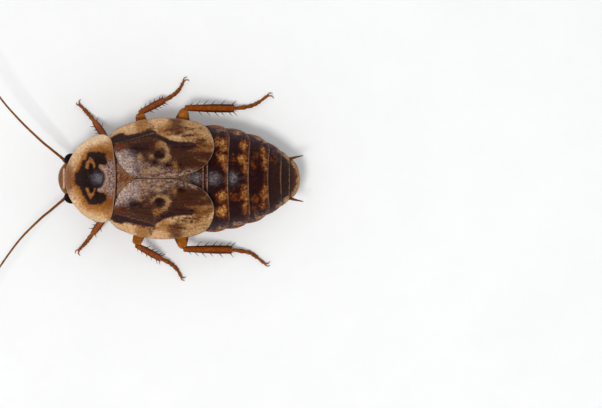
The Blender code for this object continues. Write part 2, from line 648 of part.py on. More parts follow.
def build_leg(leg, draw):
    pair, side = leg.split("_")
    at = {key: Vector(p) for key, p in LEG_POINTS[leg].items() if key not in ("foot", "claws")}
    foot = [Vector(p) for p in LEG_POINTS[leg]["foot"]]
    claws = [Vector(p) for p in LEG_POINTS[leg]["claws"]]
    shape = LEG_SHAPES[pair]
    at_trochanter = joint_plane(at["hip"], at["trochanter"], at["knee"])
    at_knee = joint_plane(at["trochanter"], at["knee"], at["ankle"])
    at_ankle = joint_plane(at["knee"], at["ankle"], foot[0])
    coxa = limb("coxa_" + leg, at["hip"], at["trochanter"], None, at_trochanter, shape["coxa"], 10, 5)
    apply_boolean(coxa, "DIFFERENCE", [thorax_skin("clearance", GAP)])
    finish(coxa, "leg")
    femur = limb("femur_" + leg, at["trochanter"], at["knee"], at_trochanter, at_knee,
                 shape["femur"], 10, 8)
    finish(femur, "leg")
    tibia = limb("tibia_" + leg, at["knee"], at["ankle"], at_knee, at_ankle, shape["tibia"], 8, 6)
    apply_boolean(tibia, "UNION", tibia_spines(pair, at["knee"], at["ankle"], draw))
    finish(tibia, "leg")
    build_foot("foot_" + leg, at["ankle"], foot, claws, at_ankle, SIDES[side])


def main():
    clear_scene()
    build_head()
    build_palps()
    build_pronotum()
    finish(thorax_skin("thorax"), "thorax")
    finish(abdomen_skin("abdomen"), "abdomen")
    draw = random.Random(7)
    for side in SIDES:
        build_wing(side)
        build_antenna(side)
        build_cercus(side)
    for leg in LEG_POINTS:
        build_leg(leg, draw)


main()
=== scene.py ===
"""Dresses a still, life-size roach over its fixed frame: fine horny plates, leathery wings, ringed
feelers, spined legs and their finishes, on a pale stage seen from straight above.

Tables below are in millimetres, with the head towards -X, the right side towards +Y and the floor at
z = 0. They become metres once, when a piece is moulded.
"""

import math
import random

import bpy
import numpy as np
from bpy.props import FloatProperty, FloatVectorProperty, IntProperty, PointerProperty
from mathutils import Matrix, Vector


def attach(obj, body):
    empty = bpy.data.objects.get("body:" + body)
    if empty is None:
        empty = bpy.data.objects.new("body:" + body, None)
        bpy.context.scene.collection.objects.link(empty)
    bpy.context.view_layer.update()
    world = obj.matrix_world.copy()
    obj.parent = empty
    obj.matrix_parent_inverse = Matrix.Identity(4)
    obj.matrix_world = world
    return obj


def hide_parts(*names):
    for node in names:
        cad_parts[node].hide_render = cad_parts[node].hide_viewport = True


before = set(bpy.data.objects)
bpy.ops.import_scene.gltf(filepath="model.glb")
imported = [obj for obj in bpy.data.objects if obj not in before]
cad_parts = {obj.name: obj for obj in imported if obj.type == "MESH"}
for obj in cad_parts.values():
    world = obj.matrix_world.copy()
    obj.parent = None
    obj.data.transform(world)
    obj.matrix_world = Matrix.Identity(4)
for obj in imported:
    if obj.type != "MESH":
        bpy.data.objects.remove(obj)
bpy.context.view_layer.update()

bl_info = {
    "name": "Museum Roach",
    "version": (1, 0, 0),
    "blender": (4, 5, 0),
    "location": "3D View > Sidebar > Roach",
    "description": "Models and finishes a still, life-size roach piece by piece over its fixed frame",
    "category": "Object",
}

MM = 0.001
TAU = 2 * math.pi
SIDES = {"right": 1, "left": -1}
# A distance in mm past the edge of every marking, for points that it never reaches.
FAR = 9

# The shield (pronotum): half outline, front to rear, and its dome.
SHIELD_HALF = [(-6.77, 0), (-6.35, 1.85), (-5.3, 3.4), (-4.2, 4.24), (-3.4, 4.55), (-2.83, 4.62),
               (-2.38, 4.5), (-1.98, 4.15), (-1.8, 3.7), (-1.67, 3.0), (-1.53, 1.95), (-1.42, 0.9),
               (-1.4, 0)]
SHIELD_CENTRE = (-3.6, 0)
SHIELD_CROWN, SHIELD_CROWN_X = 6.75, -2.9
SHIELD_FRONT, SHIELD_REAR, SHIELD_HALF_WIDTH = -6.77, -1.46, 4.6
SHIELD_FALL_FRONT, SHIELD_FALL_REAR, SHIELD_FALL_SIDE = 1.45, 0.3, 2.1
# The domes of shield and wings fall slowly by the middle line and fast at the sides, by this power.
DOME_POWER = 2.3

# Where the shield's tan middle meets its cream rim.
SHIELD_INLAND = [(-6.07, -0.01), (-5.71, 1.29), (-4.92, 2.7), (-4.09, 3.38), (-3.25, 3.61), (-2.52, 3.8),
                 (-1.69, 4.22), (-1.06, 2.96), (-1.06, -0.01), (-1.06, -2.99), (-1.69, -4.24),
                 (-2.52, -3.72), (-3.46, -3.49), (-4.3, -3.2), (-4.98, -2.57), (-5.71, -1.32)]
# Markings are read by the finishes. Each is made of fields (corners of a smooth outline), spots (x, y,
# half length, half width and, at times, a turn in degrees), lines (points) and boxes (limits), and may be
# grown by some mm.
SHIELD_MARKINGS = {
    "front": {"spots": [(-6.49, -0.01, 0.94, 1.78)]},
    "figure": {"fields": [[(-5.63, -0.01), (-5.62, 0.54), (-5.34, 0.69), (-5.04, 1.21), (-4.76, 1.76),
        (-4.44, 2.18), (-4.24, 2.65), (-3.58, 2.8), (-3.13, 2.72), (-2.56, 2.61), (-2.44, 2.08),
        (-2.31, 1.71), (-2.54, 1.4), (-3.06, 1.48), (-3.19, 1.19), (-2.99, 0.93), (-2.67, 0.61),
        (-2.52, -0.01), (-2.61, -0.38), (-2.77, -0.74), (-3.1, -0.98), (-3.34, -1.16), (-3.16, -1.45),
        (-2.61, -1.53), (-2.36, -1.68), (-2.4, -2.0), (-2.56, -2.41), (-2.86, -2.59), (-3.25, -2.68),
        (-3.75, -2.73), (-4.19, -2.61), (-4.55, -2.09), (-4.89, -1.47), (-5.1, -1.07), (-5.34, -0.69),
        (-5.62, -0.48)]]},
    # The hazy, dotted field is partly pale pigment and partly painted sheen.
    "haze": {"grow": 0.2, "fields": [[(-3.1, 1.45), (-2.63, 1.34), (-2.26, 1.61), (-1.9, 1.81),
        (-1.43, 1.4), (-1.27, -0.01), (-1.42, -1.32), (-2.0, -1.63), (-2.52, -1.47), (-3.15, -1.42),
        (-3.25, -1.16), (-2.78, -0.85), (-2.52, -0.38), (-2.47, 0.14), (-2.63, 0.67), (-2.99, 1.03)]]},
    # A painted highlight on the crown of the shield.
    "shine": {"spots": [(-3.31, 0.04, 0.48, 0.52)]},
    "orange": {"spots": [(-2.21, 2.49, 0.36, 0.31), (-2.11, -2.26, 0.44, 0.52)]},
    "ring": {"grow": -0.03, "fields": [[(-4.56, 1.1), (-4.51, 1.52), (-4.41, 1.78), (-4.25, 1.99),
        (-4.09, 2.24), (-3.88, 2.08), (-3.67, 1.78), (-3.54, 1.5), (-3.52, 1.12), (-3.72, 1.02),
        (-3.78, 1.36), (-3.93, 1.56), (-4.13, 1.52), (-4.2, 1.21), (-4.25, 1.0), (-4.41, 0.96)],
        [(-4.56, -1.05), (-4.41, -1.52), (-4.2, -1.94), (-4.03, -2.22), (-3.86, -1.99), (-3.67, -1.68),
        (-3.5, -1.26), (-3.48, -1.02), (-3.66, -1.02), (-3.71, -1.31), (-3.93, -1.57), (-4.13, -1.36),
        (-4.22, -1.02), (-4.4, -0.96)]]},
    "core": {"spots": [(-3.96, 1.3, 0.16, 0.24), (-3.93, -1.22, 0.18, 0.22)]},
    # Painted shade: the left rim is darker, against the key light that falls strongest there.
    "left_rim": {"boxes": [{"y_max": -3.0}]},
    "rear_brown": {"boxes": [{"x_min": -2.9, "y_min": -3.1, "y_max": 3.1}]},
    # An arc of the same hazy dots, partly pale pigment and partly painted sheen.
    "haze_arc": {"grow": 0.17, "lines": [[(-3.3, 1.42), (-2.9, 1.28), (-2.6, 0.85), (-2.42, 0.2),
        (-2.45, -0.4), (-2.7, -0.9), (-3.05, -1.12), (-3.3, -1.3)]]},
}
SHIELD_MARKINGS["halo"] = {**SHIELD_MARKINGS["figure"], "grow": 0.25}
# The painted highlight's paler middle.
SHIELD_MARKINGS["core_shine"] = {**SHIELD_MARKINGS["shine"], "grow": -0.3}

# The wings: right outline from its shoulder round the outer edge and back, and the dome over the body.
WING_OUTLINE = [(-2.2, 4.3), (-1.5, 5.1), (-0.9, 5.44), (1.05, 6.12), (3.6, 6.38), (6.3, 6.1), (7.5, 5.72),
                (8.2, 5.2), (8.66, 4.36), (8.86, 3.38), (8.72, 2.6), (8.38, 1.94), (7.8, 1.28),
                (6.87, 0.72), (5.5, 0.3), (4.4, 0.06), (0.9, 0.05), (0.31, 0.28), (-0.1, 0.52),
                (-0.5, 0.87), (-0.9, 1.3), (-1.2, 1.75), (-1.4, 2.2), (-1.55, 2.7), (-1.75, 3.2),
                (-2.0, 3.7)]
WING_CENTRE = (3.4, 3.2)
WING_HALF_WIDTH = 6.38
WING_CROWN = [(-2.4, 5.45), (-1.6, 5.85), (0, 6.25), (2.5, 6.4), (5, 6.2), (7.35, 5.85), (8.8, 5.6)]
WING_DROP = 2.5
WING_SWELLING, WING_SWELLING_Y = 0.1, 1.6
# Raised veins and the sunk furrow, from the hinge out.
RADIUS_VEIN = [(-1.46, 3.6), (-0.55, 3.84), (0.56, 4.16), (1.47, 4.42), (2.38, 4.68), (3.2, 4.92),
               (5.2, 5.3), (7.3, 5.35)]
WING_VEINS = [[(-1.2, 3.5), (1.5, 3.75), (4.5, 4.3), (8.2, 4.7)],
              [(-1.2, 3.4), (2, 3.2), (5.5, 3.4), (8.6, 3.6)],
              [(-1.2, 3.3), (2, 2.6), (5.5, 2.3), (8.4, 2.2)],
              [(-1.0, 3.2), (1.6, 2.1), (4.6, 1.4), (7.4, 1.2)]]
WING_FURROW = [(-1.45, 3.3), (0.2, 2.85), (2.0, 1.9), (3.6, 0.9), (4.4, 0.2)]
# How each kind of line stands up, as a share of the vein height, its half width in mm and how many points
# of its curve are used.
WING_RELIEF = [(WING_VEINS, 0.6, 0.09, 16), ([RADIUS_VEIN], 1.5, 0.07, 20), ([WING_FURROW], -1.2, 0.08, 20)]
# Where the cream outer field ends, from the hinge back.
CREAM_BORDER = [(-2.3, 4.2), (-1.9, 4.3), (-1.28, 4.61), (-0.81, 4.76), (-0.34, 4.55), (0.56, 4.68),
                (1.23, 4.9), (2.01, 5.08), (2.57, 4.97), (2.9, 4.7), (3.6, 4.33), (4.36, 3.98), (5.53, 3.8),
                (6.53, 3.8), (6.94, 3.44), (7.5, 2.95), (9, 2.8)]
# Zones that both wings share, read on the right one, and those of each wing.
WING_ZONES = {
    "ochre": {"fields": [[(0.7, 6.31), (1.85, 6.36), (2.11, 5.68), (1.8, 4.9), (0.75, 4.74)],
        [(2.95, 5.42), (3.63, 5.63), (4.31, 6.0), (4.62, 5.27), (4.36, 4.64), (3.73, 4.26), (2.95, 4.85)]]},
    "umber": {"fields": [[(4.52, 6.47), (5.61, 6.47), (6.35, 6.0), (6.24, 5.32), (6.66, 4.95),
        (6.82, 4.32), (6.35, 4.12), (5.51, 4.38), (4.46, 4.64), (4.1, 5.27)]]},
    "amber": {"fields": [[(6.97, 4.43), (7.91, 4.12), (8.75, 3.59), (8.85, 2.86), (7.7, 2.8), (6.87, 2.97),
        (6.45, 3.38), (6.66, 3.91)]]},
    "tuft": {"fields": [[(1.7, 4.85), (1.9, 5.47), (2.22, 5.81), (2.53, 5.47), (2.84, 4.95)]]},
    "pale": {"lines": [[(4.36, 4.28), (5.09, 4.12), (5.82, 4.1), (6.45, 4.22)]]},
    "textured": {"fields": [[(0.81, 2.24), (1.54, 1.87), (2.27, 1.35), (3.21, 1.42), (3.73, 1.03),
        (4.67, 0.8), (5.6, 0.8), (6.3, 0.92), (7.2, 0.9), (6.35, 0.25), (4.78, -0.06), (2.17, -0.12),
        (0.7, -0.01)]]},
    "field": {"fields": [[(4.26, 3.8), (5.09, 3.65), (6.35, 3.59), (6.66, 3.18), (6.24, 2.65), (5.4, 2.18),
        (4.67, 1.92), (4.41, 2.86)]]},
    "sand": {"boxes": [{"x_min": 5.6, "y_min": 4.1}]},
    "dusty": {"boxes": [{"x_max": 4.8, "y_max": 1.8}]},
    "deep": {"boxes": [{"x_min": 4.6, "y_min": 0.9, "y_max": 3.2}]},
}
WING_MARKINGS = {
    "right": {
        "band": {"fields": [[(-1.91, 4.3), (-1.28, 4.61), (-0.81, 4.76), (-0.34, 4.53), (0.56, 4.64),
            (1.23, 4.87), (2.01, 5.11), (2.57, 4.97), (3.16, 4.85), (2.37, 4.64), (1.47, 4.37),
            (0.56, 4.1), (-0.55, 3.8), (-1.46, 3.68), (-1.86, 3.85)], [(2.17, 4.35), (2.9, 4.59),
            (3.6, 4.35), (4.36, 3.98), (5.53, 3.8), (6.53, 3.8), (6.94, 3.44), (6.55, 3.07), (5.72, 3.12),
            (4.88, 3.28), (4.05, 3.49), (3.21, 3.96)]]},
        "brown": {"fields": [[(-0.24, 3.65), (0.6, 3.91), (2.17, 4.17), (2.48, 3.28), (2.06, 2.76),
            (1.12, 2.65), (0.18, 2.91)]]},
        # The hazy inner front is partly pale pigment and partly painted sheen.
        "haze": {"fields": [[(-1.49, 2.76), (-0.97, 2.97), (-0.34, 3.01), (0.08, 2.65), (0.49, 2.13),
            (0.81, 1.5), (0.7, 0.77), (0.39, 0.15), (-0.34, 0.62), (-0.91, 1.29), (-1.39, 2.08)]]},
        "dark": {"spots": [(3.14, 2.52, 0.48, 0.46), (2.69, 1.61, 0.36, 0.27), (1.02, 3.12, 0.73, 0.23),
            (4.1, 1.4, 0.31, 0.27), (5.4, 1.36, 0.2, 0.22)]},
        "red": {"spots": [(2.48, 3.54, 0.17, 0.38), (8.02, 2.5, 0.48, 0.23), (7.39, 2.65, 0.42, 0.17)]},
        "orange": {"fields": [[(2.74, 3.59), (3.0, 3.91), (3.47, 3.91), (3.68, 3.49), (3.31, 3.11),
            (2.9, 3.13)], [(4.57, 1.76), (4.9, 1.71), (5.15, 1.29), (4.99, 0.98), (4.63, 1.13)]]},
        "shoulder": {"fields": [[(-1.44, 3.49), (-0.76, 3.51), (-0.24, 3.33), (-0.66, 3.01), (-1.18, 2.82),
            (-1.44, 2.91)]]},
        "tan": {"fields": [[(3.42, 3.85), (3.79, 3.54), (4.15, 3.07), (4.3, 2.44), (4.11, 1.86),
            (3.58, 1.67), (3.0, 1.84), (3.11, 2.01), (3.63, 2.17), (3.75, 2.65), (3.57, 3.15),
            (3.21, 3.49)]], "spots": [(2.32, 2.39, 0.19, 0.27, 40)]},
        "freckle": {"spots": [(1.12, 2.24, 0.23, 0.31), (1.7, 0.67, 0.44, 0.27, -20),
            (2.84, 0.88, 0.31, 0.25)]},
        "wisp": {"spots": [(6.87, 2.86, 0.38, 0.12), (7.55, 1.96, 0.46, 0.16, -20),
            (7.76, 3.11, 0.58, 0.25)]},
        "blue": {"spots": [(0.94, 0.95, 0.24, 0.31), (0.34, 2.65, 0.31, 0.31)]},
        "streak": {"spots": [(4.99, 4.74, 0.68, 0.09, 14), (6.03, 4.51, 0.63, 0.12, 6),
            (6.62, 4.55, 0.16, 0.18), (7.46, 4.06, 0.25, 0.1), (4.05, 5.11, 0.37, 0.06, 10),
            (5.4, 5.37, 0.63, 0.07, -4), (5.82, 5.06, 0.52, 0.06, 8), (7.18, 3.7, 0.31, 0.07),
            (7.91, 3.44, 0.36, 0.07, -8), (6.97, 3.28, 0.31, 0.08)]},
        "vein": {"lines": [[(-1.46, 3.64), (-0.55, 3.81), (0.56, 4.15), (1.47, 4.41), (2.38, 4.69),
            (3.09, 4.83)]]},
    },
    "left": {
        "band": {"fields": [[(-1.91, -4.35), (-1.07, -4.7), (-0.45, -4.6), (0.49, -4.83), (1.23, -5.03),
            (2.02, -5.06), (2.72, -4.97), (2.17, -4.66), (1.43, -4.41), (0.56, -4.22), (-0.55, -3.95),
            (-1.39, -3.7), (-1.83, -3.88)], [(2.69, -4.66), (3.6, -4.26), (4.06, -4.14), (5.14, -3.93),
            (6.49, -3.83), (6.92, -3.51), (6.55, -3.18), (5.72, -3.2), (4.88, -3.3), (4.05, -3.51),
            (3.31, -4.03)]]},
        "brown": {"fields": [[(0.18, -3.09), (1.12, -2.94), (2.27, -2.88), (2.58, -3.72), (2.48, -4.45),
            (1.75, -4.24), (0.7, -3.85)]]},
        # The hazy inner front is partly pale pigment and partly painted sheen.
        "haze": {"fields": [[(-1.43, -2.15), (-1.28, -2.73), (-0.76, -2.78), (-0.03, -2.52), (0.39, -2.21),
            (0.91, -1.89), (0.96, -1.0), (0.6, -0.17), (-0.24, -0.59), (-0.91, -1.32)]]},
        "dark": {"spots": [(3.14, -2.53, 0.46, 0.44), (0.65, -2.7, 0.6, 0.3), (5.46, -1.27, 0.31, 0.25),
            (3.58, -3.88, 0.31, 0.21)]},
        "red": {"spots": [(-0.59, -3.25, 0.25, 0.23), (7.49, -2.61, 0.48, 0.19),
            (6.24, -2.31, 0.42, 0.25)]},
        "orange": {"fields": [[(2.43, -3.41), (2.79, -3.09), (3.31, -3.16), (3.5, -3.51), (3.16, -3.89),
            (2.65, -3.83)], [(4.57, -1.07), (4.84, -1.0), (4.97, -1.42), (4.76, -1.8), (4.55, -1.53)]]},
        "shoulder": {"fields": [[(-1.44, -3.51), (-0.86, -3.57), (-0.24, -3.45), (-0.55, -3.09),
            (-1.18, -2.84), (-1.44, -2.94)]]},
        "tan": {"fields": [[(2.43, -2.11), (2.84, -1.8), (3.42, -1.71), (3.94, -1.74), (4.28, -2.15),
            (4.32, -2.68), (3.94, -3.14), (3.48, -3.37), (3.4, -3.14), (3.75, -2.82), (3.77, -2.34),
            (3.42, -2.01), (2.88, -2.03), (2.54, -2.38), (2.27, -2.57), (2.21, -2.32)]],
            "spots": [(-0.13, -0.96, 0.27, 0.21)]},
        "freckle": {"spots": [(1.07, -2.28, 0.23, 0.23), (2.81, -1.08, 0.33, 0.27),
            (1.73, -0.81, 0.27, 0.22)]},
        "wisp": {"spots": [(6.5, -2.99, 0.42, 0.12), (7.7, -2.11, 0.46, 0.15, 20),
            (7.76, -3.24, 0.63, 0.27)]},
        "blue": {"spots": [(5.04, -0.62, 0.26, 0.17), (0.23, -2.31, 0.34, 0.21)]},
        "streak": {"spots": [(7.46, -4.11, 0.25, 0.09), (6.53, -4.6, 0.18, 0.19),
            (5.26, -4.82, 0.25, 0.07), (5.72, -4.45, 0.31, 0.07), (5.4, -5.18, 0.52, 0.07),
            (4.46, -4.97, 0.31, 0.08, -8), (6.24, -4.18, 0.42, 0.07), (6.97, -3.62, 0.31, 0.07),
            (7.91, -3.51, 0.36, 0.07, 8), (6.97, -3.25, 0.31, 0.08)]},
        "vein": {"lines": [[(-1.49, -3.53), (-0.95, -3.74), (-0.19, -3.96), (0.56, -4.18), (1.47, -4.41),
            (2.21, -4.64), (3.04, -4.93)]]},
    },
}

# The trunk (thorax) and neck: half width, side edge and belly heights along X.
TRUNK_FRONT, TRUNK_REAR = -5.5, 8.4
TRUNK_WIDTH = [(-5.5, 0.95), (-5, 1.3), (-4.3, 2.5), (-2, 3.6), (0, 4.4), (2.5, 4.9), (5.5, 5.0),
               (8.4, 4.6)]
TRUNK_EDGE = [(-5.5, 3.4), (-4.3, 3.7), (-2, 3.75), (5.5, 3.6), (8.4, 3.4)]
TRUNK_BELLY = [(-5.5, 2.9), (-4.5, 2.6), (-3.5, 2.45), (5.5, 2.35), (8.4, 2.3)]
TRUNK_BACK_LEVEL = 4.6
# The trunk's back lies this far under the shield and the wings, and sinks towards its rear from X on.
SHIELD_GAP, WING_GAP, TRUNK_SINK, TRUNK_SINK_X = 0.45, 0.24, 0.9, 5.6
# The scutum shows between shield and wings: its half width along X.
SCUTUM = [(-1.75, 1.9), (-1.2, 1.45), (-0.5, 0.75), (0.4, 0.25), (1.0, 0)]

# The abdomen: rear margins of its back plates and its section along X.
PLATE_REARS = [7.72, 8.17, 10.28, 12.43, 14.48, 15.84, 16.75, 17.84]
ABDOMEN_FRONT = 5.2
ABDOMEN_WIDTH = [(5.2, 3.4), (5.8, 4.2), (6.5, 4.9), (7.4, 5.5), (8.2, 5.55), (9.44, 5.42), (11.54, 5.02),
                 (13.64, 4.32), (14.7, 3.76), (15.84, 3.02), (16.6, 2.3), (17.1, 1.85), (17.5, 1.3),
                 (17.75, 0.72), (17.84, 0)]
ABDOMEN_BACK = [(5.2, 5.1), (8, 5.08), (10.28, 4.92), (12.43, 4.7), (14.48, 4.33), (15.84, 3.92),
                (16.95, 3.42), (17.84, 2.85)]
ABDOMEN_EDGE = [(5.2, 3.5), (8, 3.25), (12.43, 3.0), (15.84, 2.8), (17.84, 2.7)]
ABDOMEN_BELLY = [(5.2, 2.3), (8, 1.65), (10.28, 1.5), (12.43, 1.55), (14.48, 1.75), (15.84, 2.0),
                 (16.95, 2.25), (17.84, 2.6)]
# A back plate stands over the next by its step, its lip is this long, and its sides bulge.
PLATE_STEP, PLATE_LIP, PLATE_BULGE, PLATE_RINGS = 0.16, 0.05, 0.17, 24
# Its rear margin bows back towards the sides and is cut round in the outer fifth, until the plates narrow.
PLATE_BOW, CORNER_CUT, CORNER_SHARE, LAST_BOW = 0.28, 0.6, 0.2, 16.9
# The back plates end where the last two are fused into the tail, and the ridge runs along their middle.
TAIL_LENGTH, RIDGE_HEIGHT, RIDGE_WIDTH = 0.7, 0.06, 0.5
# Markings of the back lie above this height and those of the belly below the second.
BACK_LEVEL, BELLY_LEVEL = 3.0, 2.7
PLATE_MARKINGS = {
    "fleck": {"fields": [[(8.88, 4.13), (9.56, 4.24), (10.14, 4.03), (10.25, 3.4), (10.09, 2.88),
        (9.56, 2.94), (9.3, 3.4), (8.93, 3.35)], [(9.14, 2.46), (9.56, 2.65), (10.19, 2.52), (10.3, 1.93),
        (10.13, 1.31), (10.23, 0.78), (9.93, 0.78), (9.62, 1.51), (9.2, 1.77)], [(11.66, 3.86),
        (12.24, 3.88), (12.39, 3.3), (12.24, 2.73), (11.85, 2.81), (11.62, 3.34)], [(11.34, 2.14),
        (11.76, 2.5), (12.29, 2.4), (12.35, 1.72), (12.31, 0.78), (12.03, 0.62), (11.78, 1.35),
        (11.41, 1.72)], [(13.92, 3.3), (14.23, 3.19), (14.38, 2.25), (14.36, 0.99), (14.13, 0.89),
        (13.9, 1.56), (13.77, 2.46)], [(9.12, -1.84), (9.56, -1.36), (10.09, -1.31), (10.27, -1.84),
        (10.15, -2.47), (9.52, -2.55)], [(8.89, -3.41), (9.35, -3.03), (9.98, -2.74), (10.3, -3.2),
        (10.09, -3.87), (9.46, -4.02)], [(11.59, -1.52), (11.97, -0.83), (12.26, -0.79), (12.35, -1.63),
        (12.29, -2.3), (11.87, -2.28)], [(11.7, -2.89), (12.01, -2.53), (12.35, -2.57), (12.31, -3.3),
        (11.93, -3.58)], [(13.73, -1.42), (14.11, -0.64), (14.36, -0.69), (14.34, -1.73), (14.19, -2.89),
        (13.84, -2.95), (13.84, -2.15)]]},
    "ember": {"spots": [(11.0, 2.06, 0.42, 0.17), (13.18, 2.46, 0.26, 0.34), (11.0, -1.88, 0.4, 0.27),
        (13.23, -2.15, 0.36, 0.3), (12.95, 1.2, 0.2, 0.3), (15.2, 2.2, 0.25, 0.2),
        (13.0, -3.2, 0.3, 0.25)]},
    "flank_fleck": {"spots": [(11.45, 4.91, 0.36, 0.19), (13.6, 4.29, 0.58, 0.23, -22),
        (14.17, 3.95, 0.31, 0.19), (16.06, 2.67, 0.68, 0.27, -42), (11.4, -4.82, 0.42, 0.21),
        (13.65, -4.06, 0.59, 0.23, 24), (16.11, -2.57, 0.63, 0.29, 42), (9.88, -5.19, 0.42, 0.15),
        (9.67, 5.18, 0.42, 0.13)]},
    # Pale specks along the middle line: partly pale pigment, partly painted sheen.
    "grey": {"spots": [(6.84, 0.05, 0.6, 0.6), (8.75, -0.0, 0.6, 0.5), (10.8, -0.0, 0.42, 0.5)]},
    "rust": {"lines": [[(9.98, 2.77), (10.09, -0.0), (9.98, -2.78)], [(12.08, 2.77),
        (12.12, -0.0), (12.08, -2.78)], [(14.07, 1.93), (14.11, -0.0), (14.07, -1.94)]]},
}

# The flecks have a dim glow round them and a pale heart.
PLATE_MARKINGS["glow"] = {**PLATE_MARKINGS["fleck"], "grow": 0.14}
PLATE_MARKINGS["heart"] = {**PLATE_MARKINGS["fleck"], "grow": -0.25}
PLATE_MARKINGS["fleck"]["grow"] = -0.05

# The head, hanging face down: (height, half width, front, back) from the crown to the mouth.
HEAD_LEVELS = [(4.42, 0.6, -6.96, -6.1), (4.4, 1.15, -7.04, -5.85), (4.33, 1.55, -7.15, -5.68),
               (4.12, 1.84, -7.32, -5.55), (3.75, 1.99, -7.5, -5.42), (3.3, 2.02, -7.58, -5.4),
               (2.8, 1.88, -7.48, -5.5), (2.2, 1.56, -7.28, -5.7), (1.7, 1.19, -7.1, -5.95),
               (1.3, 0.85, -7.0, -6.15), (1.0, 0.5, -6.88, -6.35)]
# The head is widest at this share of its depth, counted from the back.
HEAD_WIDEST = 0.22
EYE_CENTRE, EYE_RADII = (-6.18, 1.95, 3.65), (0.75, 0.69, 0.82)
# Centres and half sizes of the mouth's shells.
FACE_PIECES = {"labrum": ((-7.02, 0, 1.3), (0.2, 0.5, 0.42)),
               "jaw_right": ((-6.72, 0.55, 1.2), (0.42, 0.36, 0.44)),
               "jaw_left": ((-6.72, -0.55, 1.2), (0.42, 0.36, 0.44))}
# Mouth feelers: points on the right side, radius and number of segments.
MOUTH_FEELERS = {
    "mouth": ([(-6.25, 0.95, 1.8), (-6.6, 1.4, 1.4), (-6.85, 1.45, 0.85), (-6.7, 1.15, 0.45)], 0.14, 4),
    "lip": ([(-6.35, 0.35, 1.1), (-6.3, 0.65, 0.8), (-6.45, 0.75, 0.45)], 0.1, 3),
}

# Feelers, root to tip.
ANTENNA_PATHS = {
    "right": [(-6.6, 1.55, 2.68), (-6.95, 1.92, 2.76), (-7.35, 2.29, 2.92), (-8.39, 3.15, 3.35),
              (-9.44, 4.04, 3.7), (-11.54, 6.09, 4.25), (-13.64, 8.55, 4.6), (-15.5, 11.6, 4.65),
              (-17.1, 14.55, 4.4), (-18.12, 17.0, 3.9)],
    "left": [(-6.5, -1.62, 2.68), (-6.86, -2.04, 2.76), (-7.35, -2.46, 2.92), (-8.39, -3.36, 3.35),
             (-9.44, -4.25, 3.7), (-11.54, -6.4, 4.25), (-13.64, -9.29, 4.6), (-15.55, -12.3, 4.65),
             (-17.1, -15.1, 4.4), (-18.12, -17.0, 3.9)],
}
# The first two segments of an antenna are the thickest. They end at these shares of its length.
SCAPE_END, SECOND_END = 0.035, 0.055
CERCUS_ROOT, CERCUS_TIP = (16.4, 1.95, 2.85), (18.19, 2.42, 3.0)
# A tail feeler's radius at its root, how much thinner its tip is, and its number of rings.
CERCUS_RADIUS, CERCUS_TAPER, CERCUS_RINGS = 0.21, 0.17, 9

# Legs: joints, foot and claws of each, as points.
LEG_POINTS = {
    "front_right": {"hip": (-3.2, 0.65, 2.3), "trochanter": (-4.2, 1.95, 1.7), "knee": (-2.41, 4.04, 2.7),
                    "ankle": (-3.9, 6.04, 0.75),
                    "foot": [(-4.23, 6.46, 0.42), (-4.67, 6.96, 0.2), (-5.08, 7.41, 0.17),
                             (-5.45, 7.78, 0.17)],
                    "claws": [(-5.83, 8.1, 0.05), (-5.35, 8.42, 0.05)]},
    "front_left": {"hip": (-3.2, -0.65, 2.3), "trochanter": (-4.2, -1.95, 1.7), "knee": (-2.52, -3.85, 2.7),
                   "ankle": (-4.06, -5.79, 0.75),
                   "foot": [(-4.44, -6.27, 0.42), (-4.87, -6.82, 0.2), (-5.27, -7.23, 0.17),
                            (-5.51, -7.51, 0.17)],
                   "claws": [(-5.96, -7.94, 0.05), (-5.42, -8.15, 0.05)]},
    "mid_right": {"hip": (-0.55, 0.7, 2.2), "trochanter": (1.9, 2.75, 1.55), "knee": (0.95, 6.9, 2.85),
                  "ankle": (3.46, 8.29, 0.75),
                  "foot": [(4.14, 8.64, 0.4), (4.75, 9.11, 0.2), (5.2, 9.66, 0.17), (5.42, 10.15, 0.17)],
                  "claws": [(5.93, 10.81, 0.05), (6.15, 10.39, 0.05)]},
    "mid_left": {"hip": (-0.55, -0.7, 2.2), "trochanter": (1.9, -2.75, 1.55), "knee": (0.59, -6.99, 2.85),
                 "ankle": (3.15, -8.46, 0.75),
                 "foot": [(3.82, -8.78, 0.4), (4.44, -9.22, 0.2), (4.93, -9.77, 0.17),
                          (5.22, -10.32, 0.17)],
                 "claws": [(5.78, -10.35, 0.05), (5.64, -10.77, 0.05)]},
    "hind_right": {"hip": (2.6, 0.75, 2.2), "trochanter": (4.9, 2.85, 1.5), "knee": (5.68, 7.43, 2.75),
                   "ankle": (10.92, 7.43, 0.8),
                   "foot": [(11.97, 7.55, 0.42), (12.81, 7.76, 0.2), (13.66, 8.22, 0.17),
                            (14.31, 8.73, 0.17)],
                   "claws": [(14.96, 9.02, 0.05), (15.08, 8.49, 0.05)]},
    "hind_left": {"hip": (2.6, -0.75, 2.2), "trochanter": (4.9, -2.85, 1.5), "knee": (5.53, -7.41, 2.75),
                  "ankle": (10.71, -7.51, 0.8),
                  "foot": [(11.76, -7.67, 0.42), (12.6, -7.87, 0.2), (13.39, -8.41, 0.17),
                           (14.03, -8.94, 0.17)],
                  "claws": [(14.68, -8.71, 0.05), (14.7, -9.2, 0.05)]},
}
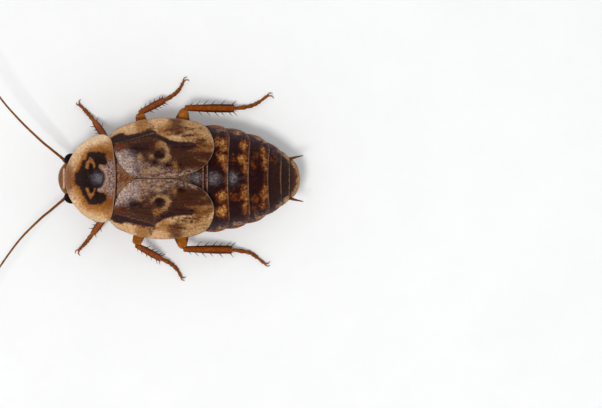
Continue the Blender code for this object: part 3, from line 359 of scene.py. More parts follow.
# Half sizes (across, deep) of each pair's segments at even steps from root to end.
LEG_SHAPES = {
    "front": {"coxa": [(0.45, 0.4), (0.62, 0.46), (0.34, 0.34)],
              "femur": [(0.28, 0.3), (0.5, 0.42), (0.46, 0.36), (0.26, 0.25)],
              "tibia": [(0.26, 0.24), (0.36, 0.29), (0.37, 0.28), (0.29, 0.25)]},
    "mid": {"coxa": [(0.6, 0.45), (0.82, 0.5), (0.4, 0.36)],
            "femur": [(0.32, 0.34), (0.56, 0.46), (0.64, 0.42), (0.46, 0.34)],
            "tibia": [(0.28, 0.25), (0.34, 0.28), (0.37, 0.29), (0.34, 0.27)]},
    "hind": {"coxa": [(0.7, 0.48), (0.95, 0.52), (0.46, 0.4)],
             "femur": [(0.4, 0.36), (0.74, 0.5), (0.84, 0.48), (0.34, 0.32)],
             "tibia": [(0.3, 0.27), (0.39, 0.32), (0.45, 0.34), (0.43, 0.32)]},
}
BRISTLE_RADIUS = 0.014
# How far a claw bows from the straight line between its ends, in mm.
CLAW_BOW = 0.17
# Where the five segments of a foot end, as shares of its length.
FOOT_ENDS = [0, 0.34, 0.52, 0.66, 0.76, 1.0]
# Places of the spines along each tibia, as shares of its length, on the edge away from the body and on
# the edge towards it, and their mean length.
SPINES = {"front": ([0.45, 0.62, 0.8], [0.6, 0.95], 0.45),
          "mid": ([0.1, 0.26, 0.46, 0.64, 0.86, 0.97], [0.35, 0.55, 0.7, 0.85, 0.95], 0.46),
          "hind": ([0.11, 0.23, 0.37, 0.53, 0.72, 0.94], [0.27, 0.43, 0.59, 0.72, 0.87, 0.97], 0.64)}
# Angle between a spine and its tibia, and how far round the ankle its three spurs stand, in radians.
SPINE_LEAN = math.radians(46)
SPUR_ANGLES = (-0.9, 0.1, 1.0)

# Horn of the legs: two pigments, roughness, coat, size of the clouds in mm, flesh light, and the dark
# colour of dark horn and of painted shade.
LEG_HORN = {
    "Hip": ("#9a6630", "#7e4a1a", 0.36, 0.06, 0.4, 0.1, "#4a2410"),
    "Thigh": ("#b56a20", "#96500f", 0.3, 0.06, 0.4, 0.12, "#4d2208"),
    "Shin": ("#9a4c0c", "#7a3405", 0.32, 0.06, 0.25, 0.05, "#341203"),
    "Foot": ("#9a5414", "#763a08", 0.36, 0.06, 0.2, 0.05, "#381804"),
    "Spine": ("#74360e", "#5c280a", 0.35, 0.06, 0.2, 0.0, "#241006"),
    "Bristle": ("#6e4022", "#532c14", 0.5, 0.0, 0.1),
}

# The photographed view: 602 by 408 pixels at 9.53 pixels to the millimetre, with x = 0 at column 130
# and y = 0 at row 178.5.
VIEW_WIDTH = 602 / 9.53
VIEW_CENTRE = ((301 - 130) / 9.53, (178.5 - 204) / 9.53)
BODY_HEIGHT, SENSOR_WIDTH = 0.004, 36.0
# The lights: width and place in metres, tint, and whether each shows in the gloss and lights the colour.
LIGHTS = {"key": (0.28, (-0.23, -0.3, 0.93), (1.0, 0.99, 0.97), False, True),
          "top": (0.2, (-0.02, 0.0, 1.0), (0.85, 0.92, 1.0), True, True),
          "fill": (1.2, (0.0, 0.0, 1.2), (1.0, 0.99, 0.97), False, True),
          "glint": (0.16, (-0.85, 0.02, 0.04), (1.0, 0.94, 0.96), True, False)}
LIGHTS_AIM = (0.005, 0, 0)
SKY_COLOUR, HORIZON_GLOW, ZENITH_GLOW = (0.97, 0.99, 1.0, 1.0), 1.42, 0.05


def linear(code):
    """Linear RGBA from an sRGB hex colour such as #c8a070."""
    parts = [int(code[i:i + 2], 16) / 255 for i in (1, 3, 5)]
    return (*(c / 12.92 if c <= 0.04045 else ((c + 0.055) / 1.055) ** 2.4 for c in parts), 1.0)


def curve(points, shares, closed=False):
    """Points at these shares of the length of a smooth curve through the given points."""
    given = np.array(points, float)
    if closed:
        given = np.vstack([given[-1], given, given[0], given[1]])
    else:
        given = np.vstack([2 * given[0] - given[1], given, 2 * given[-1] - given[-2]])
    t = np.linspace(0, 1, 24, endpoint=False)[:, None]
    spans = []
    for a, b, c, d in zip(given, given[1:], given[2:], given[3:]):
        spans.append(0.5 * (2 * b + (c - a) * t + (2 * a - 5 * b + 4 * c - d) * t**2
                            + (3 * b - a - 3 * c + d) * t**3))
    fine = np.vstack([*spans, given[-2]])
    lengths = np.concatenate([[0], np.cumsum(np.linalg.norm(np.diff(fine, axis=0), axis=1))])
    wanted = np.asarray(shares) * lengths[-1]
    return np.stack([np.interp(wanted, lengths, fine[:, k]) for k in range(fine.shape[1])], -1)


def profile(table, x):
    """Smooth values at x from a short table of (x, value)."""
    return np.interp(x, *curve(table, np.linspace(0, 1, 200)).T)


def line_distance(x, y, points):
    """Distance in mm from (x, y) to an open line through points."""
    nearest = np.full(np.shape(x), np.inf)
    for (ax, ay), (bx, by) in zip(points, points[1:]):
        length = max((bx - ax) ** 2 + (by - ay) ** 2, 1e-12)
        share = np.clip(((x - ax) * (bx - ax) + (y - ay) * (by - ay)) / length, 0, 1)
        nearest = np.minimum(nearest, np.hypot(x - ax - share * (bx - ax), y - ay - share * (by - ay)))
    return nearest


def field_distance(x, y, corners):
    """Distance in mm from (x, y) to the smooth edge of a field, negative inside it."""
    edge = curve(corners, np.linspace(0, 1, 90), closed=True)
    inside = np.zeros(np.shape(x), bool)
    for (ax, ay), (bx, by) in zip(edge, edge[1:]):
        if ay != by:
            inside ^= ((ay > y) != (by > y)) & (x < (bx - ax) * (y - ay) / (by - ay) + ax)
    return np.where(inside, -1, 1) * line_distance(x, y, edge)


def spot_distance(x, y, spots):
    """Distance in mm from (x, y) to the nearest oval spot's edge, negative inside it."""
    nearest = np.full(np.shape(x), np.inf)
    for cx, cy, half_length, half_width, *turn in spots:
        angle = math.radians(turn[0]) if turn else 0
        along = (x - cx) * math.cos(angle) + (y - cy) * math.sin(angle)
        across = (y - cy) * math.cos(angle) - (x - cx) * math.sin(angle)
        reach = np.hypot(along / half_length, across / half_width)
        nearest = np.minimum(nearest, (reach - 1) * min(half_length, half_width))
    return nearest


def box_distance(x, y, x_min=-np.inf, x_max=np.inf, y_min=-np.inf, y_max=np.inf):
    """Distance in mm from (x, y) to the nearest edge of a straight-sided zone, negative inside it."""
    return np.maximum(np.maximum(x_min - x, x - x_max), np.maximum(y_min - y, y - y_max))


def marking_distance(x, y, fields=(), spots=(), lines=(), boxes=(), grow=0):
    """Distance in mm from (x, y) to the nearest edge of a marking, negative inside it."""
    nearest = spot_distance(x, y, spots)
    for corners in fields:
        nearest = np.minimum(nearest, field_distance(x, y, corners))
    for points in lines:
        nearest = np.minimum(nearest, line_distance(x, y, curve(points, np.linspace(0, 1, 20))))
    for limits in boxes:
        nearest = np.minimum(nearest, box_distance(x, y, **limits))
    return nearest - grow


def both_sides(half):
    """A closed outline from its half at +Y, front to rear."""
    return [*half, *((x, -y) for x, y in reversed(half) if y)]


def shield_top(x, y):
    """Height of the shield's dome."""
    ahead = np.maximum(SHIELD_CROWN_X - x, 0) / (SHIELD_CROWN_X - SHIELD_FRONT)
    behind = np.maximum(x - SHIELD_CROWN_X, 0) / (SHIELD_REAR - SHIELD_CROWN_X)
    beside = np.abs(y) / SHIELD_HALF_WIDTH
    length_fall = SHIELD_FALL_FRONT * ahead**2 + SHIELD_FALL_REAR * behind**2
    return SHIELD_CROWN - length_fall - SHIELD_FALL_SIDE * beside**DOME_POWER


def wing_top(x, y):
    """Height of the wings' dome, with a low swelling along each."""
    swelling = WING_SWELLING * np.exp(-(np.abs(y) - WING_SWELLING_Y) ** 2)
    return profile(WING_CROWN, x) - WING_DROP * (np.abs(y) / WING_HALF_WIDTH) ** DOME_POWER + swelling


def plate_bow(x, across):
    """How far back a back plate's rear margin lies at a share of the half width: it bows back a little
    towards the side and its corner is rounded off."""
    across = np.abs(across)
    corner = np.clip((across - (1 - CORNER_SHARE)) / CORNER_SHARE, 0, 1)
    return (PLATE_BOW * across**2 - CORNER_CUT * corner**2) * np.clip((LAST_BOW - x) / 1.5, 0, 1)


def deselect():
    """Deselects everything, so that an operator acts only on what it adds."""
    bpy.ops.object.select_all(action="DESELECT")


def moulded(name, around, rings, place):
    """A closed piece: a sphere whose points are moved to place(turn, ring), in mm. turn runs round it from
    0 to one, and ring counts from the top pole, 0, to the bottom one."""
    deselect()
    bpy.ops.mesh.primitive_uv_sphere_add(segments=around, ring_count=rings, radius=1, location=(0, 0, 0))
    piece = bpy.context.active_object
    piece.name = piece.data.name = name
    unit = np.empty(len(piece.data.vertices) * 3)
    piece.data.vertices.foreach_get("co", unit)
    unit = unit.reshape(-1, 3)
    turn = np.round(np.arctan2(unit[:, 1], unit[:, 0]) / TAU * around) / around % 1
    ring = np.round(np.arccos(np.clip(unit[:, 2], -1, 1)) / math.pi * rings).astype(int)
    x, y, z = place(turn, ring)
    piece.data.vertices.foreach_set("co", (np.stack([x, y, z], -1) * MM).ravel())
    face_outwards(piece)
    return piece


def face_outwards(piece):
    """Turns all faces of a closed piece outwards and smooths its shading."""
    bpy.context.view_layer.objects.active = piece
    bpy.ops.object.mode_set(mode="EDIT")
    bpy.ops.mesh.select_all(action="SELECT")
    bpy.ops.mesh.normals_make_consistent(inside=False)
    bpy.ops.object.mode_set(mode="OBJECT")
    piece.data.shade_smooth()


def points_of(piece):
    """The piece's points in mm, as three arrays."""
    flat = np.empty(len(piece.data.vertices) * 3)
    piece.data.vertices.foreach_get("co", flat)
    return flat.reshape(-1, 3).T / MM


def mark(piece, name, values):
    """Keeps one number for each point of the piece, for its finish to read."""
    attribute = piece.data.attributes.new(name, "FLOAT", "POINT")
    attribute.data.foreach_set("value", np.broadcast_to(values, len(piece.data.vertices)).astype(np.float32))


def darken(piece, share):
    """Keeps how far each point darkens, from 0 to 1, as the "dark" marking, whose blur is 0.5."""
    mark(piece, "dark", 0.5 - share)


def horny_plate(name, outline, centre, top, wall, around, rings):
    """A thin domed plate with a rounded margin. Five sixths of its rings lie on the upper side."""
    upper_rings = rings * 5 // 6
    centre = np.array(centre)

    def place(turn, ring):
        upper = ring <= upper_rings
        out = np.where(upper, ring / upper_rings, (rings - ring) / (rings - upper_rings))
        x, y = (centre + (curve(outline, turn, closed=True) - centre) * out[:, None]).T
        swell = wall / 2 * np.sqrt(np.clip(1 - out**24, 0, 1))
        return x, y, top(x, y) - wall / 2 + np.where(upper, swell, -swell)

    return moulded(name, around, rings, place)


def tube(name, points, size, around, rings, upright=(0, 0, 1), rounding=0.04):
    """A tube with round ends along a smooth path. size(share) gives its half width and half depth."""
    def place(turn, ring):
        shares = np.arange(rings + 1) / rings
        path = curve(points, shares)
        ahead = np.gradient(path, axis=0)
        ahead /= np.linalg.norm(ahead, axis=1)[:, None]
        side = np.cross(ahead, upright)
        side /= np.linalg.norm(side, axis=1)[:, None]
        up = np.cross(side, ahead)
        across, deep = size(shares)
        near_end = np.clip(np.minimum(shares, 1 - shares) / rounding, 0, 1)
        cap = np.sqrt(1 - (1 - near_end) ** 2)
        angle = turn * TAU
        spot = (path[ring] + side[ring] * (across * cap)[ring, None] * np.cos(angle)[:, None]
                + up[ring] * (deep * cap)[ring, None] * np.sin(angle)[:, None])
        return spot.T

    return moulded(name, around, rings, place)


def ball(name, centre, radii, segments, rings):
    """An oval ball with this centre and these half sizes, in mm."""
    deselect()
    bpy.ops.mesh.primitive_uv_sphere_add(segments=segments, ring_count=rings, radius=1, location=(0, 0, 0))
    bpy.ops.transform.resize(value=[r * MM for r in radii])
    bpy.ops.transform.translate(value=[c * MM for c in centre])
    bpy.ops.object.transform_apply(location=True, rotation=True, scale=True)
    piece = bpy.context.active_object
    piece.name = piece.data.name = name
    piece.data.shade_smooth()
    return piece


def joined(name, pieces):
    """One object from several, each still a closed shell."""
    deselect()
    for piece in pieces:
        piece.select_set(True)
    bpy.context.view_layer.objects.active = pieces[0]
    bpy.ops.object.join()
    whole = bpy.context.active_object
    whole.name = whole.data.name = name
    return whole


def dress(piece, material, slot, *nodes):
    """Gives the piece its finish and fixes it to the frame in place of these nodes."""
    piece.data.materials.clear()
    piece.data.materials.append(material)
    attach(piece, "root")
    if nodes:
        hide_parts(*nodes)
    return piece


def node(tree, kind, inputs=None, **settings):
    """Adds a shader node with its settings. inputs gives a value or another node's output for each socket."""
    made = tree.nodes.new("ShaderNode" + kind)
    for key, value in settings.items():
        setattr(made, key, value)
    for key, value in (inputs or {}).items():
        if isinstance(value, bpy.types.NodeSocket):
            tree.links.new(value, made.inputs[key])
        else:
            made.inputs[key].default_value = value
    return made


def blank_finish(name):
    """A new finish with its node tree, its shader and its coordinates in mm."""
    material = bpy.data.materials.new(name)
    material.use_nodes = True
    tree = material.node_tree
    place = node(tree, "TexCoord").outputs["Object"]
    mm = node(tree, "Mapping", {"Vector": place, "Scale": (1 / MM, 1 / MM, 1 / MM)}).outputs["Vector"]
    return material, tree, tree.nodes["Principled BSDF"], mm


# Of the noise that the grains are made of, 95% lies between these two values.
GRAIN_LOW, GRAIN_HIGH = 0.38, 0.62
# Real cuticle has a net of cells about 0.02 mm wide, too fine to show. Its relief and its specks are drawn at
# several times that size, as coarse as they need to be.
CUTICLE_IOR, COAT_ROUGHNESS, LIGHT_DEPTH = 1.5, 0.16, 0.3 * MM


def cuticle(name, coat, flesh=0.0, shine=0.16):
    """Starts a horny finish. Insect cuticle is a clear, waxy horn over pigment, grown in thin layers: a
    smooth coat shines over a duller coloured layer, which itself reflects less than glass does."""
    material, tree, shader, mm = blank_finish(name)
    fixed = {"IOR": CUTICLE_IOR, "Specular IOR Level": shine, "Coat Weight": coat, "Coat IOR": CUTICLE_IOR,
             "Coat Roughness": COAT_ROUGHNESS, "Subsurface Weight": flesh, "Subsurface Scale": LIGHT_DEPTH,
             "Subsurface Radius": (1.0, 0.45, 0.2)}
    for key, value in fixed.items():
        shader.inputs[key].default_value = value
    return material, tree, shader, mm


def wandering(tree, mm):
    """Noise from about -1 to 1, in lumps from half a millimetre down to a hair's width. The edges of the
    markings wander with it."""
    noise = node(tree, "TexNoise", {"Vector": mm, "Scale": 1 / 0.5, "Detail": 7.0, "Roughness": 0.8})
    return node(tree, "MapRange", {"Value": noise.outputs["Fac"], "From Min": 0.4, "From Max": 0.6,
                                   "To Min": -1.0, "To Max": 1.0}, clamp=False).outputs[0]


def marking(tree, wander, name, blur, ragged):
    """Mask of a marking from its distance field: 1 inside it. Its edge is blur wide and wanders by ragged,
    both in mm."""
    field = node(tree, "Attribute", attribute_name=name).outputs["Fac"]
    moved = node(tree, "Math", {0: wander, 1: ragged, 2: field}, operation="MULTIPLY_ADD").outputs[0]
    return node(tree, "MapRange", {"Value": moved, "From Min": -blur, "From Max": blur, "To Min": 1.0,
                                   "To Max": 0.0}, interpolation_type="SMOOTHSTEP").outputs[0]


def grains(tree, mm, size, stretch=1.0):
    """Noise whose largest lumps are about this size in mm, drawn out along X where stretch is under one."""
    lumps = node(tree, "Mapping", {"Vector": mm, "Scale": (stretch / size, 1 / size, 1 / size)})
    return node(tree, "TexNoise", {"Vector": lumps.outputs["Vector"], "Scale": 1.0, "Detail": 5.0,
                                   "Roughness": 0.75}).outputs["Fac"]


def flecked(tree, mm, size, low, high, stretch=1.0):
    """Mask of scattered flecks of about this size in mm: 0 where the noise is under low, 1 over high."""
    noise = grains(tree, mm, size, stretch)
    return node(tree, "MapRange", {"Value": noise, "From Min": low, "From Max": high}).outputs[0]


def painted(tree, mm, base, layers, specks=(0.5, 0.3), settings=None):
    """Pigment laid over a base colour, first to last. A layer is a marking's name or None, a colour or the
    name of a setting, the edge's blur and raggedness, and flecks (size, low, high, stretch) or None. Over
    it all the colour lightens and darkens in specks, given by their size in mm and their strength."""
    def pigment(colour):
        return linear(colour) if colour.startswith("#") else tuple(getattr(settings, colour))

    colour, wander = pigment(base), wandering(tree, mm)
    for name, over, blur, ragged, flecks in layers:
        mask = flecked(tree, mm, *flecks) if flecks else None
        if name:
            field = marking(tree, wander, name, blur, ragged)
            mask = node(tree, "Math", {0: mask, 1: field}, operation="MULTIPLY").outputs[0] if mask else field
        colour = node(tree, "Mix", {0: mask, 6: colour, 7: pigment(over)}, data_type="RGBA").outputs[2]
    size, strength = specks
    shade = node(tree, "MapRange", {"Value": grains(tree, mm, size), "From Min": GRAIN_LOW,
                                    "From Max": GRAIN_HIGH, "To Min": 1 - strength,
                                    "To Max": 1 + strength}, clamp=False).outputs[0]
    return node(tree, "VectorMath", {0: colour, "Scale": shade}, operation="SCALE").outputs["Vector"]


def finish_horn(name, base, layers, roughness, coat, relief=(0.12, 0.012), flesh=0.0, specks=(0.5, 0.3),
                settings=None, shine=0.16):
    """A horny finish with these pigments. relief is the size and height in mm of its fine bumps, and the
    shine is duller where the bumps stand."""
    material, tree, shader, mm = cuticle(name, coat, flesh, shine)
    tree.links.new(painted(tree, mm, base, layers, specks, settings), shader.inputs["Base Color"])
    size, height = relief
    bumps = grains(tree, mm, size)
    bump = node(tree, "Bump", {"Height": bumps, "Distance": height * MM, "Strength": 1.0})
    tree.links.new(bump.outputs["Normal"], shader.inputs["Normal"])
    dull = node(tree, "MapRange", {"Value": bumps, "From Min": GRAIN_LOW, "From Max": GRAIN_HIGH,
                                   "To Min": roughness - 0.08, "To Max": roughness + 0.1})
    tree.links.new(dull.outputs[0], shader.inputs["Roughness"])
    return material


def shield_finish(settings):
    """Shield horn: thick, smooth cuticle that is clear enough at its rim to let light through. To the eye it
    is a soft gloss over tan, cream at the sides, with a brown-black figure and a hazy, dotted rear, which is
    partly pale pigment and partly painted sheen. A painted highlight lies on the crown, and painted shade
    darkens the left rim."""
    return finish_horn("Shield horn", "rim_colour", [
        (None, "#cda379", 0, 0, (1.6, 0.4, 0.66, 0.6)),
        # Painted shade on the left rim, where the key light falls strongest.
        ("left_rim", "#c9a67c", 0.7, 0.1, None),
        ("inland", "#c4935c", 0.6, 0.12, None),
        ("inner", "tan_colour", 0.6, 0.15, None),
        ("inner", "#965c1e", 0.5, 0.25, (0.8, 0.38, 0.64, 0.7)),
        ("rear_brown", "#784406", 0.55, 0.2, None),
        ("front", "#7a471f", 0.6, 0.15, None),
        ("halo", "#82490a", 0.3, 0.12, None),
        ("orange", "#7e3e04", 0.2, 0.15, None),
        # The hazy, dotted rear: partly pale pigment, partly painted sheen.
        ("haze", "#583628", 0.45, 0.3, None),
        ("haze", "haze_colour", 0.5, 0.35, (0.15, 0.44, 0.6)),
        ("haze_arc", "#b79382", 0.3, 0.22, (0.2, 0.34, 0.54)),
        ("figure", "#481404", 0.2, 0.1, None),
        ("figure", "figure_colour", 0.1, 0.08, None),
        ("figure", "#371a08", 0.1, 0.1, (0.2, 0.46, 0.7)),
        # Painted highlight on the crown, and its paler middle.
        ("shine", "#5f5a62", 0.6, 0.2, (0.14, 0.36, 0.6)),
        ("core_shine", "#949096", 0.5, 0.2, (0.1, 0.4, 0.66)),
        ("ring", "#9f6231", 0.09, 0.06, None),
        ("ring", "#683a17", 0.09, 0.06, (0.16, 0.48, 0.6)),
        ("core", "#140404", 0.06, 0.03, None),
        ("rear_line", "#957664", 0.05, 0.03, None),
        ("rim_line", "#b0845a", 0.04, 0.02, None)], 0.33, 0.12, (0.11, 0.014), 0.03, (0.25, 0.17), settings)


def wing_finish(settings):
    """Wing leather: thin, tough cuticle, ribbed by veins and duller than the shield. To the eye it is a cream
    outer field, a dark brown veined middle with tan spots and a hazy, finely dotted inner front, which is
    partly pale pigment and partly painted sheen, with a painted highlight on its inner front."""
    return finish_horn("Wing leather", "brown_colour", [
        (None, "#744d37", 0, 0, (0.16, 0.5, 0.68, 0.5)),
        ("field", "#2b0404", 0.35, 0.25, None),
        ("deep", "#3d1d0a", 0.5, 0.25, None),
        ("textured", "#4d2d1e", 0.4, 0.25, None),
        ("textured", "#b28e78", 0.35, 0.2, (0.26, 0.44, 0.62, 0.7)),
        ("brown", "#3a1b0a", 0.3, 0.25, None),
        ("dusty", "#896a5c", 0.4, 0.3, (0.18, 0.48, 0.64)),
        # The hazy inner front: partly pale pigment, partly painted sheen.
        ("haze", "#5d453c", 0.4, 0.25, None),
        ("haze", "haze_colour", 0.45, 0.3, (0.16, 0.4, 0.6)),
        # A painted highlight: a pale, dotted patch on the inner front.
        ("bright", "#c7afa4", 0.35, 0.2, (0.16, 0.38, 0.6)),
        ("blue", "#514951", 0.2, 0.15, (0.15, 0.36, 0.52)),
        ("cream", "cream_colour", 0.12, 0.12, None),
        ("cream", "#b98c60", 0.2, 0.15, (0.7, 0.38, 0.7, 0.3)),
        ("cream", "#c9a378", 0.2, 0.15, (0.3, 0.48, 0.78, 0.3)),
        ("ochre", "#956433", 0.4, 0.12, None),
        ("umber", "#64360c", 0.4, 0.18, None),
        ("umber", "#481d04", 0.4, 0.2, (0.26, 0.46, 0.66, 0.28)),
        ("sand", "#ac8255", 0.6, 0.15, None),
        ("sand", "#77471a", 0.4, 0.2, (0.26, 0.5, 0.64, 0.35)),
        ("amber", "#7a4b1d", 0.4, 0.2, None),
        ("amber", "#4e1f04", 0.3, 0.2, (0.24, 0.48, 0.64, 0.3)),
        ("tuft", "#633604", 0.16, 0.25, (0.2, 0.38, 0.56, 0.5)),
        ("pale", "#815e39", 0.12, 0.08, None),
        ("streak", "#461a04", 0.12, 0.12, None),
        ("band", "#1e0404", 0.14, 0.13, None),
        ("band", "#451f08", 0.12, 0.2, (0.2, 0.46, 0.68, 0.3)),
        ("shoulder", "#602a04", 0.25, 0.2, (0.3, 0.26, 0.5)),
        ("red", "#420c04", 0.25, 0.15, None),
        ("freckle", "#96764f", 0.2, 0.14, (0.25, 0.32, 0.56)),
        ("wisp", "#815528", 0.2, 0.14, (0.2, 0.4, 0.6, 0.4)),
        ("orange", "#89592a", 0.16, 0.14, (0.3, 0.32, 0.56)),
        ("tan", "#9a744b", 0.15, 0.13, (0.3, 0.3, 0.54)),
        ("dark", "#1f0404", 0.2, 0.2, None),
        ("vein", "#9a7451", 0.04, 0.03, None),
        ("margin", "#896d58", 0.035, 0.03, None)], 0.36, 0.08, (0.11, 0.02), 0.02, (0.22, 0.32), settings)


def back_plate_finish(settings):
    """Back plate horn: hard, smooth cuticle in overlapping plates. To the eye it is near black and glossy,
    with tan flecks, paler rear lips and a brown flank. A painted shadow lies behind each lip, and along the
    middle line the lips and pale specks of pigment carry painted sheen."""
    return finish_horn("Back plate horn", "plate_colour", [
        (None, "#341004", 0, 0, (0.4, 0.46, 0.74)),
        ("flank", "#2b1a1e", 0.35, 0.25, None),
        ("side", "#533228", 0.25, 0.25, (0.2, 0.4, 0.6)),
        ("lip", "#552204", 0.24, 0.16, None),
        ("rear_plates", "#2b140e", 0.5, 0.2, None),
        # Pale specks along the middle line: partly pale pigment, partly painted sheen.
        ("grey", "#5c5052", 0.6, 0.2, (0.1, 0.3, 0.62)),
        ("grey", "#948a8c", 0.4, 0.2, (0.1, 0.46, 0.68)),
        ("glow", "#451704", 0.16, 0.2, None),
        ("ember", "#663104", 0.26, 0.4, (0.3, 0.34, 0.52)),
        ("fleck", "#90521e", 0.18, 0.2, (0.3, 0.36, 0.52)),
        ("heart", "#b38447", 0.2, 0.25, (0.22, 0.4, 0.6)),
        ("fleck", "#360c04", 0.16, 0.22, (0.2, 0.54, 0.64)),
        ("rust", "#643308", 0.16, 0.2, (0.3, 0.4, 0.58)),
        ("flank_fleck", "#97704f", 0.2, 0.2, (0.3, 0.32, 0.5)),
        ("tail", "#451f04", 0.3, 0.2, None),
        ("tail_rim", "#a07549", 0.14, 0.14, None),
        ("side_rim", "#743f17", 0.06, 0.06, None),
        # Painted shadow behind each rear margin, under the overhanging plate.
        ("shade", "#040404", 0.14, 0.05, None),
        ("edge", "#754c37", 0.06, 0.05, None),
        # Painted highlight: the lips' line is paler by the middle line.
        ("edge_middle", "#886f62", 0.06, 0.05, None),
        ("belly", "#572e0c", 0.3, 0.1, None)], 0.33, 0.12, (0.12, 0.016), 0.0, (0.22, 0.42), settings)


def trunk_finish():
    """Trunk horn: the tough, half-dull cuticle of the body wall. To the eye it is brown, darker on the back,
    with an orange-brown scutum between the wings."""
    return finish_horn("Trunk horn", "#65401f", [
        (None, "#4d2b15", 0, 0, (0.5, 0.44, 0.6)),
        ("back", "#4e3021", 0.3, 0.2, None),
        ("back", "#85624c", 0.3, 0.2, (0.15, 0.44, 0.64)),
        ("scutum", "#845535", 0.1, 0.15, None),
        ("scutum", "#a58772", 0.1, 0.15, (0.13, 0.46, 0.66)),
        ("scutum_middle", "#643104", 0.3, 0.25, (0.4, 0.3, 0.56)),
        ("scutum_middle", "#946e5a", 0.3, 0.25, (0.12, 0.52, 0.68)),
        ("ridge", "#976c49", 0.05, 0.06, None),
        # Painted shadow in the gap under the shield's rear edge.
        ("seam", "#1e0404", 0.05, 0.03, None)], 0.36, 0.12, (0.12, 0.015), 0.0, (0.22, 0.42))


def plain_finish(name, base, second, roughness, coat, size=0.4, flesh=0.0, darker="#2a1209"):
    """Clear, smooth cuticle of legs and feelers over two close pigments. To the eye they cloud into each
    other under a slight gloss, with darker marked stretches: dark horn at joints and tips, and on the legs
    painted shade under the hips and along the flanks."""
    return finish_horn(name, base, [(None, second, 0, 0, (size, 0.42, 0.6)),
                                    ("dark", darker, 0.5, 0.1, None)],
                       roughness, coat, (size / 3, 0.02), flesh, (size / 2, 0.55), shine=0.08)


def head_finish():
    """Head horn: the smoothest cuticle of the body. To the eye it is polished orange-brown, darker down the
    face, with painted shade on its front slope and a painted highlight along the crown."""
    return finish_horn("Head horn", "#7a490a", [
        (None, "#6e3c04", 0, 0, (0.5, 0.42, 0.6)),
        ("dark", "#4e2504", 0.5, 0.1, None),
        # Painted highlight along the crown.
        ("sheen", "#caa08a", 0.06, 0.02, None)], 0.24, 0.12, (0.17, 0.01), 0.0, (0.3, 0.3), shine=0.08)


def eye_finish():
    """Compound eye: clear lenses packed over black pigment. To the eye it is black with a fine sheen."""
    material, tree, shader, mm = cuticle("Compound eye", 0.12, shine=0.0)
    shader.inputs["Roughness"].default_value = 0.2
    # Real facets are about 0.03 mm wide and too fine to show, so they are drawn at 0.05 mm.
    facets = node(tree, "TexVoronoi", {"Vector": mm, "Scale": 1 / 0.05})
    bump = node(tree, "Bump", {"Height": facets.outputs["Distance"], "Distance": 0.006 * MM, "Strength": 0.6},
                invert=True)
    tree.links.new(bump.outputs["Normal"], shader.inputs["Normal"])
    colour = painted(tree, mm, "#0a0204", [(None, "#140407", 0, 0, (0.4, 0.42, 0.6))])
    tree.links.new(colour, shader.inputs["Base Color"])
    return material


def card_finish():
    """White card: pressed paper fibre without a coating. To the eye it is matte and very slightly uneven."""
    material, tree, shader, mm = blank_finish("White card")
    shader.inputs["Roughness"].default_value = 0.9
    shader.inputs["Specular IOR Level"].default_value = 0.1
    colour = painted(tree, mm, "#fafafa", [(None, "#fcfcfc", 0, 0, (25.0, 0.42, 0.58))], (4.0, 0.006))
    tree.links.new(colour, shader.inputs["Base Color"])
    return material


class ShieldSettings(bpy.types.PropertyGroup):
    wall: FloatProperty(name="Thickness", description="Thickness of the shield's free margin",
                        default=0.16 * MM, unit="LENGTH")
    rim_colour: FloatVectorProperty(name="Rim", description="Colour of the pale side margins",
                                    subtype="COLOR", size=4, default=linear("#dfbe99"))
    tan_colour: FloatVectorProperty(name="Tan", description="Colour between the rim and the dark figure",
                                    subtype="COLOR", size=4, default=linear("#a46c31"))
    figure_colour: FloatVectorProperty(name="Figure", description="Colour of the dark central figure",
                                       subtype="COLOR", size=4, default=linear("#120404"))
    # The hazy rear's colour is partly pale pigment and partly painted sheen.
    haze_colour: FloatVectorProperty(name="Haze", description="Colour of the hazy, dotted rear",
                                     subtype="COLOR", size=4, default=linear("#b69a8f"))


class WingSettings(bpy.types.PropertyGroup):
    wall: FloatProperty(name="Thickness", description="Thickness of a wing", default=0.11 * MM, unit="LENGTH")
    vein_height: FloatProperty(name="Vein height", description="How far the main veins stand up",
                               default=0.05 * MM, unit="LENGTH")
    cream_colour: FloatVectorProperty(name="Cream", description="Colour of the outer field",
                                      subtype="COLOR", size=4, default=linear("#c69c71"))
    brown_colour: FloatVectorProperty(name="Brown", description="Colour of the inner and rear wing",
                                      subtype="COLOR", size=4, default=linear("#3e1e0f"))
    # The hazy inner front's colour is partly pale pigment and partly painted sheen.
    haze_colour: FloatVectorProperty(name="Haze", description="Colour of the hazy inner front",
                                     subtype="COLOR", size=4, default=linear("#b8a096"))


class BodySettings(bpy.types.PropertyGroup):
    plate_colour: FloatVectorProperty(name="Plates", description="Colour of the abdomen's back plates",
                                      subtype="COLOR", size=4, default=linear("#1e0404"))


class FeelerSettings(bpy.types.PropertyGroup):
    root_radius: FloatProperty(name="Root radius", description="Radius of an antenna near its root",
                               default=0.155 * MM, unit="LENGTH")
    tip_radius: FloatProperty(name="Tip radius", description="Radius of an antenna at its tip",
                              default=0.06 * MM, unit="LENGTH")
    rings: IntProperty(name="Rings", description="Number of ring joints along an antenna",
                       default=118, min=20)


class LegSettings(bpy.types.PropertyGroup):
    spine_radius: FloatProperty(name="Spine radius", description="Radius of a tibial spine at its root",
                                default=0.06 * MM, unit="LENGTH")
    bristle_length: FloatProperty(name="Bristle length", description="Mean length of the fine leg bristles",
                                  default=0.22 * MM, unit="LENGTH")
    bristles: IntProperty(name="Bristles", description="Number of fine bristles on each leg",
                          default=90, min=0)


